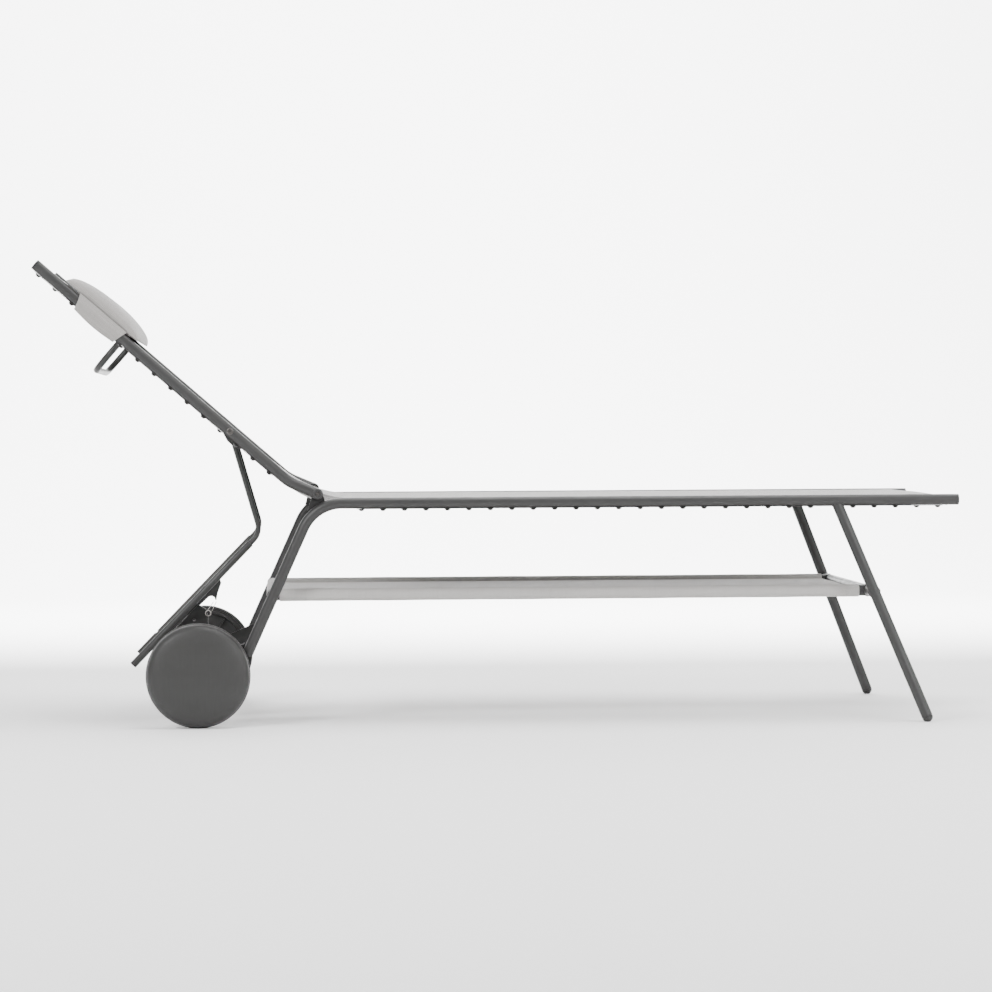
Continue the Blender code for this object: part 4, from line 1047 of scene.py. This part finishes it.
def add_rib(bm, centre, axis, out, wide):
    """One radial rib of a wheel, lower towards the rim."""
    half = RIB / 2
    foot = 0.0070
    stations = ((0.0165, 0.0215), (0.0500, 0.0150), (0.0888, 0.0140))
    loops = []
    for radius, height in stations:
        loops.append([bm.verts.new(centre + out * radius + wide * w - axis * h)
                      for w, h in ((-half, foot), (-half * 0.8, height),
                                   (half * 0.8, height), (half, foot))])
    for one, two in zip(loops, loops[1:]):
        bridge(bm, one, two)
    bm.faces.new(loops[0])
    bm.faces.new(loops[-1])


def cover_profile():
    """Section of the cover: low dome, wide round shoulder, rolled edge and thin wall."""
    face = 0.0240            # height of the dome's rim over the wheel's middle plane
    crown = 0.0040           # height of the dome's middle over that
    edge = WHEEL - 0.0016
    shoulder = 0.020         # radius of the shoulder
    thick = 0.0024
    start = edge - shoulder
    level = face - shoulder
    tilt = 22                # degrees at which the dome runs into the shoulder
    rings = 12
    outer = [(start * i / rings, face + crown * (1 - (i / rings) ** 3)) for i in range(rings)]
    outer += [(start + shoulder * sin(radians(a)), level + shoulder * cos(radians(a)))
              for a in range(tilt, 91, 4)]
    wall = shoulder - thick
    inner = [(start + wall * sin(radians(a)), level + wall * cos(radians(a)))
             for a in range(90, -1, -10)]
    inner += [(start * 0.5, face - thick + crown * 0.75), (0, face - thick + crown)]
    lip = [(edge, level - 0.0006), (edge - thick * 0.4, level - 0.0010)]
    return outer + lip + inner


# ------------------------------------------------------------------ sling
SEAT_LIP = radians(48)       # how high up the seat rails' inner side the sling leaves them
BACK_LIP = radians(14)       # the same on the back rails
STRIP_TURN = radians(-67)    # where the sling's edge ends, at the studs' strip
SEAT_SAG = 0.0215
BACK_SAG = 0.0050
WRAP = TUBE + 0.0009         # radius at which the sling lies round a rail
HEM_HALF = RAIL_Y - TUBE - 0.0015        # half width of the hems, between the rails
HEM_RADIUS = BAR + CLOTH * 0.6
HEM_TAIL = 0.034             # from the bar to the hem's sewn end
HEM_GAP = 0.012              # from the bar to where the open sling starts
SEAT_FREE = 0.2925           # half width of the sling where it is free beside the hinge
BACK_FREE = 0.3015           # the same along the back
LUG_BREAK = (0.160, 0.236)   # stretch of the back rail where the prop's lug is in the way
HANDLE_BREAK = 0.012         # half the break at the push handle
BREAK_EASE = 0.008           # over which the edge comes back round the rail after a break
SEAT_GRIP = (0.060, 0.085)   # from the hinge: where the edge begins to wrap the seat rail
BACK_GRIP = (0.070, 0.095)   # the same on the back rail
SLING_CORNER = 0.0071        # from the hinge to where the lines of seat and back cross
SLING_BEND = 0.22            # radius of the sling's bend between seat and back
SLING_STEP = 0.0075
SHARP = 60                   # degrees between faces from which a cloth's edge is sharp


def lengths(points):
    """Distance along a line of points, at each of them."""
    out = [0.0]
    for one, two in zip(points, points[1:]):
        out.append(out[-1] + dist(one, two))
    return out


def sheet_mesh(rows, closed=False):
    """Faces over rows of (place, spot) pairs; the spots are its UV map, in metres."""
    bm = bmesh.new()
    uv = bm.loops.layers.uv.new("uv")
    grid = []
    for row in rows:
        line = [(bm.verts.new(place), spot) for place, spot in (row[:-1] if closed else row)]
        if closed:
            line.append((line[0][0], row[-1][1]))
        grid.append(line)
    for one, two in zip(grid, grid[1:]):
        for j in range(len(one) - 1):
            corners = (one[j], one[j + 1], two[j + 1], two[j])
            face = bm.faces.new([vert for vert, spot in corners])
            for loop, (vert, spot) in zip(face.loops, corners):
                loop[uv].uv = spot
    return bm


def cloth_piece(name, rows, slot, *replaced, closed=False, tidy=False):
    """A sheet of cloth as a piece, with its thickness."""
    cloth = piece(name, sheet_mesh(rows, closed), slot, None, *replaced, sharp=SHARP, tidy=tidy)
    thicken(cloth)
    return cloth


def thicken(obj):
    """Give a sheet its thickness, half to each side."""
    solid = obj.modifiers.new("thickness", "SOLIDIFY")
    solid.thickness = CLOTH
    solid.offset = 0
    bake(obj)
    obj.data.shade_smooth()
    obj.data.set_sharp_from_angle(angle=radians(SHARP))


def smooth_step(value, low, high):
    """0 below low, 1 above high, smooth between."""
    t = min(max((value - low) / (high - low), 0), 1)
    return t * t * (3 - 2 * t)


def hem_path(centre, inward, up):
    """Points of a hem in a side view: from its sewn end, under a bar, round it and on top."""
    end = centre + inward * HEM_TAIL + up * (HEM_RADIUS - CLOTH * 1.4)
    mid = centre + inward * (HEM_TAIL * 0.55) + up * (HEM_RADIUS - 0.0035)
    points = [end, mid]
    for a in range(-125, 91, 12):
        around = up * sin(radians(a)) - inward * cos(radians(a))
        points.append(centre + around * HEM_RADIUS)
    points.append(centre + inward * (HEM_GAP / 2) + up * HEM_RADIUS)
    return points


def sling_line():
    """Rows of the sling from foot to head: (point, up, wrap, sag, half width, lip, hem)."""
    seat_up = Vector((0, 0, 1))
    rows = []
    foot = Vector((FOOT_BAR.x, 0, FOOT_BAR.z))
    for point in hem_path(foot, Vector((-1, 0, 0)), seat_up):
        rows.append((point, seat_up, 0.0, 0.0, HEM_HALF, SEAT_LIP, True))
    seat = Vector((foot.x - HEM_GAP, 0, RAIL_Z))
    corner = Vector((HINGE.x - SLING_CORNER, 0, RAIL_Z))
    top_bar = middle("back_top_crossbar")
    top_along = (top_bar - HINGE).dot(BACK_UP)
    head = back_point(top_along - HEM_GAP, RAIL_DEPTH, 0)
    points = resample(rounded_path([seat, corner, head], SLING_BEND, radians(2)), SLING_STEP)
    total = len(points)
    for i, (point, along) in enumerate(zip(points, directions(points))):
        up = Vector((along.z, 0, -along.x))
        back = (point - HINGE).dot(BACK_UP) if point.x < HINGE.x else 0.0
        seat_run = point.x - HINGE.x
        share = smooth_step(back, 0.0, 0.2)
        lip = SEAT_LIP + (BACK_LIP - SEAT_LIP) * share
        wrap, half = edge_state(seat_run, back, RAIL_Y - WRAP * cos(lip))
        start = smooth_step(foot.x - point.x, 0.015, 0.16)
        end = smooth_step(top_along - back, 0.02, 0.16) if back > 0.2 else 1.0
        sag = (SEAT_SAG * (1 - share) + BACK_SAG * share) * start * end
        wrap *= smooth_step(i, 2, 8) * smooth_step(total - i, 2, 8)
        rows.append((point, up, wrap, sag, half, lip, False))
    bar = Vector((top_bar.x, 0, top_bar.z))
    for point in hem_path(bar, -BACK_UP, BACK_OUT)[::-1]:
        rows.append((point, BACK_OUT, 0.0, 0.0, HEM_HALF, BACK_LIP, True))
    return rows


def edge_state(seat_run, back, edge):
    """How far the edge wraps its rail (0 to 1) and the sling's half width at a place."""
    if back <= 0:
        wrap = smooth_step(seat_run, *SEAT_GRIP)
    else:
        wrap = smooth_step(back, *BACK_GRIP)
        at_handle = (HANDLE_ALONG - HANDLE_BREAK, HANDLE_ALONG + HANDLE_BREAK)
        for low, high in (LUG_BREAK, at_handle):
            outside = max(low - back, back - high)
            wrap *= smooth_step(outside, 0.0, BREAK_EASE)
    free = SEAT_FREE if back < 0.1 and seat_run < 0.1 else BACK_FREE
    return wrap, free + (edge - free) * wrap


def resample(path, step):
    """Points at even steps along a polyline."""
    out = [path[0]]
    left = step
    for one, two in zip(path, path[1:]):
        length = (two - one).length
        at = left
        while at < length:
            out.append(one.lerp(two, at / length))
            at += step
        left = at - length
    out.append(path[-1])
    return out


def ripple(run, y):
    """Faint unevenness of the sling at a distance from its foot end."""
    return 0.0009 * sin(run * 21 + 9 * y) * sin(run * 5.3 + 1.0)


def sling_section(wrap, sag, half, lip_turn, hem, run):
    """Across the sling from left to right: (y, height) pairs."""
    lip = WRAP * sin(lip_turn)
    edge_steps = 8
    wrapped = []
    for i in range(edge_steps + 1):
        turn = lip_turn + (STRIP_TURN - lip_turn) * i / edge_steps
        wrapped.append((RAIL_Y - WRAP * cos(turn), WRAP * sin(turn)))
    free = [(half - 0.00002 * i, lip - 0.0004 * i) for i in range(edge_steps + 1)]
    side = [(f[0] + (w[0] - f[0]) * wrap, f[1] + (w[1] - f[1]) * wrap)
            for w, f in zip(wrapped, free)]
    inner = side[0][0]
    count = 36
    middle_part = []
    for i in range(1, count):
        y = inner * (2 * i / count - 1)
        share = 1 - (y / inner) ** 2
        middle_part.append((y, lip + (ripple(run, y) - sag) * share))
    section = [(-y, h) for y, h in side[::-1]] + middle_part + side
    return [(y, 0.0) for y, h in section] if hem else section


def sling():
    """Seat and back sling: one sheet, studded to the rails and hemmed round both bars."""
    lines = sling_line()
    runs = lengths([line[0] for line in lines])
    rows = []
    for (point, up, wrap, sag, half, lip, hem), run in zip(lines, runs):
        section = sling_section(wrap, sag, half, lip, hem, run)
        widths = lengths(section)
        rows.append([(point + up * height + Vector((0, y, 0)), (width - widths[-1] / 2, run))
                     for (y, height), width in zip(section, widths)])
    cloth = cloth_piece("sling", rows, "sling_fabric", "seat_sling", "back_sling")
    run = runs[-1]
    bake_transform(cloth)


# ------------------------------------------------------------------ shelf fabric
SLEEVE = TUBE + 0.0013       # radius of the fabric round the shelf's tubes
SLACK = 0.004                # how far the web hangs in its middle


def shelf_cloth():
    """Shelf fabric: sleeves round the side tubes and a slightly slack web between them."""
    start = leg_point(SHELF_Z, 0).x + TUBE + 0.002
    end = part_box("shelf_fabric")[1][0]
    stations = 120
    rows = []
    for i in range(stations + 1):
        x = start + (end - start) * i / stations
        section = shelf_section(x, min(x - start, end - x))
        around = lengths(section)
        rows.append([((x, y, SHELF_Z + height), (run, x))
                     for (y, height), run in zip(section, around)])
    cloth = cloth_piece("shelf_cloth", rows, "shelf_fabric", "shelf_fabric")
    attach(cloth, "root")


def shelf_section(x, from_end):
    """Across the shelf fabric from one seam, over both sleeves, to the other seam."""
    pull = 1 + 0.02 * sin(x * 37) * sin(x * 11.3 + 1)
    around = 19
    side = []
    for i in range(around + 1):
        turn = radians(-172 + 340 * i / around)
        side.append((SHELF_Y + SLEEVE * pull * cos(turn), SLEEVE * pull * sin(turn)))
    seam = side[-1]
    slack = SLACK * smooth_step(from_end, 0.0, 0.12)
    count = 30
    web = []
    for i in range(1, count):
        y = seam[0] * (1 - 2 * i / count)
        share = 1 - (y / seam[0]) ** 2
        web.append((y, seam[1] - slack * share + 0.0008 * share * sin(x * 17 + y * 23)))
    mirrored = [(-y, h) for y, h in side[::-1]]
    return side + web + mirrored


def rear_sleeve():
    """Fabric wrapped round the shelf's rear crossbar, between the side sleeves."""
    place = leg_point(SHELF_Z, 0)
    half = SHELF_Y - TUBE - 0.003
    girth = 2 * pi * SLEEVE
    turns = 40
    count = 48
    rows = []
    for i in range(count + 1):
        y = half * (2 * i / count - 1)
        swell = SLEEVE + 0.0004 * sin(i * 1.7)
        row = []
        for j in range(turns + 1):
            turn = 2 * pi * j / turns
            at = place + Vector((swell * cos(turn), y, swell * sin(turn)))
            row.append((at, (2 * half * i / count, girth * j / turns)))
        rows.append(row)
    cloth = cloth_piece("shelf_rear_sleeve", rows, "shelf_fabric", closed=True)
    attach(cloth, "root")


# ------------------------------------------------------------------ pillow
PILLOW_LOW = 0.4680          # from the hinge, along the back
PILLOW_HIGH = 0.6600
PILLOW_CROWN = 0.0285
PILLOW_SWELL = 0.0025        # the most that a point moves as the bag fills
PILLOW_Y = 0.3270            # half its length across the back
PILLOW_BASE = RAIL_DEPTH + TUBE + 0.0006
BAG_EDGE = 0.0035            # height of the bag's seam over its base before it is filled
VOXEL = 0.0050
SWELL_STEPS = 20             # of the cloth simulation
FLAP_LOW = 0.4975
FLAP_HIGH = 0.6185
FLAP_LOW_SLANT = 0.0095      # how far the flap's lower end slants in towards its free edge
FLAP_HIGH_SLANT = 0.0107     # the same at its upper end
FLAP_BELLY = 0.0035          # how much its free edge bows out between the ends
FLAP_WRAP = TUBE + 0.0014    # radius of the flap round a rail
SEAM_RISE = 0.0048           # seam between pillow and flap, above the rail's top


def pillow_crown(t):
    """Height of the pillow's top at a share t of the way from lower to upper edge."""
    return PILLOW_CROWN * sqrt(max(1 - (2 * t - 1) ** 2, 0))


def pillow():
    """Head pillow: a crowned bag, swollen by a cloth simulation, with flaps round the rails."""
    bm = bmesh.new()
    rows = 20
    columns = 44
    shells = []
    for upper in (True, False):
        shell = []
        for i in range(rows + 1):
            t = i / rows
            line = []
            for j in range(columns + 1):
                y = PILLOW_Y * (2 * j / columns - 1)
                side = 1 - abs(2 * j / columns - 1) ** 14
                rise = pillow_crown(t) * (0.55 + 0.45 * side) if upper else -0.0030
                height = BAG_EDGE + rise
                along = PILLOW_LOW + (PILLOW_HIGH - PILLOW_LOW) * t
                line.append(bm.verts.new(back_point(along, PILLOW_BASE + height, y)))
            shell.append(line)
        shells.append(shell)
    for shell in shells:
        for one, two in zip(shell, shell[1:]):
            for j in range(columns):
                bm.faces.new((one[j], one[j + 1], two[j + 1], two[j]))
    bridge(bm, rim_of(shells[0]), rim_of(shells[1]))
    bag = piece("head_pillow", bm, "pillow_fabric", None, "pillow", sharp=SHARP)
    swell(bag)
    settle_pillow(bag)
    back_uv(bag)
    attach(bag, "back")
    for side in SIDES:
        pillow_flap(side)
        pillow_seam(side)


def rim_of(grid):
    """The outermost vertices of a grid, in order round it."""
    right = [row[-1] for row in grid[1:]]
    left = [row[0] for row in grid[-2:0:-1]]
    return grid[0] + right + grid[-1][-2::-1] + left


def swell(obj):
    """Remesh a closed bag and let pressure round it, each point moving no more than the cap."""
    remesh = obj.modifiers.new("remesh", "REMESH")
    remesh.mode = "VOXEL"
    remesh.voxel_size = VOXEL
    bake(obj)
    rest = [v.co.copy() for v in obj.data.vertices]
    cloth = obj.modifiers.new("cloth", "CLOTH")
    cloth.settings.use_pressure = True
    cloth.settings.uniform_pressure_force = 4
    cloth.settings.quality = 5
    cloth.settings.effector_weights.gravity = 0
    cloth.point_cache.frame_start = 1
    cloth.point_cache.frame_end = SWELL_STEPS
    for frame_number in range(1, SWELL_STEPS + 1):
        bpy.context.scene.frame_set(frame_number)
    graph = bpy.context.evaluated_depsgraph_get()
    moved = [v.co.copy() for v in obj.evaluated_get(graph).data.vertices]
    obj.modifiers.clear()
    for v, old, new in zip(obj.data.vertices, rest, moved):
        step = new - old
        v.co = old + step * min(1, PILLOW_SWELL / max(step.length, 1e-9))
    smooth = obj.modifiers.new("smooth", "SMOOTH")
    smooth.factor = 0.5
    smooth.iterations = 4
    surface = obj.modifiers.new("surface", "SUBSURF")
    surface.levels = 1
    surface.render_levels = 1
    bake(obj)
    obj.data.shade_smooth()


def settle_pillow(obj):
    """Flatten the pillow where it lies on the rails and sling, and hollow the long creases."""
    for v in obj.data.vertices:
        offset = v.co - HINGE
        depth = offset.dot(BACK_OUT)
        along = offset.dot(BACK_UP)
        lift = smooth_step(FLAP_LOW - along, 0.0, 0.012) + smooth_step(along - FLAP_HIGH, 0.0, 0.012)
        floor = PILLOW_BASE + 0.0042 * lift
        if depth < floor:
            v.co += BACK_OUT * (floor - depth)
        crease = 0.0005 * sin(v.co.y * 31 + along * 40) * sin(v.co.y * 13 + 0.7)
        if depth > floor + 0.006:
            v.co += BACK_OUT * crease


def back_uv(obj):
    """UV map in metres: across the back, and along it."""
    layer = obj.data.uv_layers.new(name="uv") if not obj.data.uv_layers else obj.data.uv_layers[0]
    for loop in obj.data.loops:
        co = obj.data.vertices[loop.vertex_index].co
        offset = co - HINGE
        layer.data[loop.index].uv = (co.y + offset.dot(BACK_OUT) * 0.5, offset.dot(BACK_UP))


def flap_section():
    """Section of a flap: from the pillow's seam, round the rail's outside, over the studs."""
    points = [Vector((0.0068, TUBE + SEAM_RISE)), Vector((0.0078, TUBE + 0.003))]
    for turn in range(42, -93, -9):
        low = smooth_step(-turn, 20, 80)
        reach = FLAP_WRAP + 0.0046 * low
        points.append(Vector((FLAP_WRAP * cos(radians(turn)), reach * sin(radians(turn)))))
    return points


def pillow_flap(side):
    """Fabric flap sewn to the pillow's side edge, wrapped round the outside of the rail."""
    section = flap_section()
    runs = lengths(section)
    total = runs[-1]
    count = 26
    rows = []
    for point, run in zip(section, runs):
        t = run / total
        low = FLAP_LOW + FLAP_LOW_SLANT * t
        high = FLAP_HIGH - FLAP_HIGH_SLANT * sin(pi / 2 * t)
        row = []
        for j in range(count + 1):
            along = low + (high - low) * j / count
            pull = 0.0005 * sin(along * 90 + t * 4) * sin(pi * t)
            belly = FLAP_BELLY * sin(pi * j / count) * smooth_step(t, 0.5, 1.0)
            place = back_point(along, RAIL_DEPTH + point.y - belly,
                               side * (RAIL_Y + point.x + pull))
            row.append((place, (run, along)))
        rows.append(row)
    flap = cloth_piece(f"pillow_flap_{NAMES[side]}", rows, "pillow_fabric", tidy=True)
    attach(flap, "back")


def pillow_seam(side):
    """Corded seam between pillow and flap."""
    y = side * (RAIL_Y + 0.0072)
    depth = RAIL_DEPTH + TUBE + SEAM_RISE + 0.0003
    run = FLAP_HIGH - FLAP_LOW
    path = [back_point(FLAP_LOW + run * i / 40, depth, y) for i in range(41)]
    rod(f"pillow_seam_{NAMES[side]}", path, 0.0007, "pillow_fabric", "back", sides=10,
        chamfer=0.0003)


# ------------------------------------------------------------------ stage, lights and camera
def plain(name, value, roughness):
    """A plain stage material."""
    s = Shading(name, roughness)
    s.shader.inputs["Base Color"].default_value = (value, value, value, 1)
    return s.material


def floor():
    """A pale floor that curves up into a backdrop behind the object."""
    bm = bmesh.new()
    width = 14
    front = -12
    behind = 5
    bend = 3.0
    top = 12
    profile = [(front, 0), (behind, 0)]
    profile += [(behind + bend * sin(radians(a)), bend - bend * cos(radians(a)))
                for a in range(5, 91, 5)]
    profile.append((behind + bend, top))
    rows = [(bm.verts.new((-width, y, z)), bm.verts.new((width, y, z))) for y, z in profile]
    for one, two in zip(rows, rows[1:]):
        bm.faces.new((one[0], one[1], two[1], two[0]))
    mesh = bpy.data.meshes.new("floor")
    bm.to_mesh(mesh)
    bm.free()
    mesh.shade_smooth()
    mesh.materials.append(plain("floor", 0.93, 0.9))
    obj = bpy.data.objects.new("floor", mesh)
    bpy.context.scene.collection.objects.link(obj)


def area_light(name, place, target, size, power):
    """A soft square light that faces a target."""
    data = bpy.data.lights.new(name, "AREA")
    data.shape = "RECTANGLE"
    data.size = size[0]
    data.size_y = size[1]
    data.energy = power
    lamp = bpy.data.objects.new(name, data)
    lamp.location = place
    lamp.rotation_euler = (Vector(target) - Vector(place)).to_track_quat("-Z", "Y").to_euler()
    bpy.context.scene.collection.objects.link(lamp)


def lights():
    """Large soft boxes in front and to both sides, a white surround and a lit backdrop."""
    world = bpy.data.worlds.new("surround")
    world.use_nodes = True
    world.node_tree.nodes["Background"].inputs["Color"].default_value = (1, 1, 1, 1)
    world.node_tree.nodes["Background"].inputs["Strength"].default_value = 0.55
    bpy.context.scene.world = world
    area_light("key", (-3.6, -4.2, 3.4), (-0.2, 0, 0.4), (1.8, 1.4), 300)
    area_light("fill", (3.0, -4.6, 2.2), (0.2, 0, 0.4), (1.8, 1.4), 150)
    area_light("top", (0.3, 0.2, 4.5), (0, 0, 0.3), (5.0, 3.0), 330)
    area_light("side", (4.2, -0.6, 2.2), (0.4, 0, 0.3), (0.8, 1.8), 70)
    area_light("backdrop", (0, 2.6, 3.2), (0, 8.0, 1.2), (7.0, 1.5), 2200)


CAMERA_PLACE = Vector((HINGE.x - 0.0877, -7.8573, HINGE.z + 0.1479))
CAMERA_YAW = radians(3.381)
CAMERA_PITCH = radians(1.171)
CAMERA_ROLL = radians(-0.3005)
CAMERA_LENS = 136.6          # millimetres, on a sensor 36 mm wide


def camera():
    """Camera in front of the near side, a little to the head end, looking nearly level."""
    data = bpy.data.cameras.new("camera")
    data.lens = CAMERA_LENS
    data.sensor_width = 36
    data.clip_end = 60
    ahead = Vector((sin(CAMERA_YAW) * cos(CAMERA_PITCH), cos(CAMERA_YAW) * cos(CAMERA_PITCH),
                    -sin(CAMERA_PITCH)))
    level = Vector((cos(CAMERA_YAW), -sin(CAMERA_YAW), 0))
    upright = level.cross(ahead)
    right = level * cos(CAMERA_ROLL) + upright * sin(CAMERA_ROLL)
    up = right.cross(ahead)
    obj = bpy.data.objects.new("camera", data)
    obj.matrix_world = Matrix((
        (right.x, up.x, -ahead.x, CAMERA_PLACE.x),
        (right.y, up.y, -ahead.y, CAMERA_PLACE.y),
        (right.z, up.z, -ahead.z, CAMERA_PLACE.z),
        (0, 0, 0, 1)))
    bpy.context.scene.collection.objects.link(obj)
    bpy.context.scene.camera = obj


# ------------------------------------------------------------------ assembly
def build():
    """Every piece of the lounger."""
    welds = {body: bmesh.new() for body in ("root", "back", "prop")}
    for side in SIDES:
        side_frame(side)
        front_leg(side, welds["root"])
        back_rail(side)
        hinge_parts(side)
        prop_lug(side)
        wheel(side)
    crossbars(welds["root"])
    shelf_tubes(welds["root"])
    stud_rows()
    back_bars(welds["back"])
    prop(welds["prop"])
    axle_group(welds["root"])
    latch()
    for body, bm in welds.items():
        piece(f"welds_{body}", bm, "frame_paint", body)
    shelf_cloth()
    rear_sleeve()
    sling()
    pillow()


def finish_leftovers():
    """Give every CAD node that still shows its finish."""
    slots = {part["node"]: part["material_slot"] for part in frame["record"]["subparts"]}
    for name, obj in frame["nodes"].items():
        if not obj.hide_render:
            obj.data.materials.clear()
            obj.data.materials.append(MATERIALS[slots[name]])


def main():
    """Build the scene."""
    camera()
    lights()
    floor()
    build()
    finish_leftovers()


main()
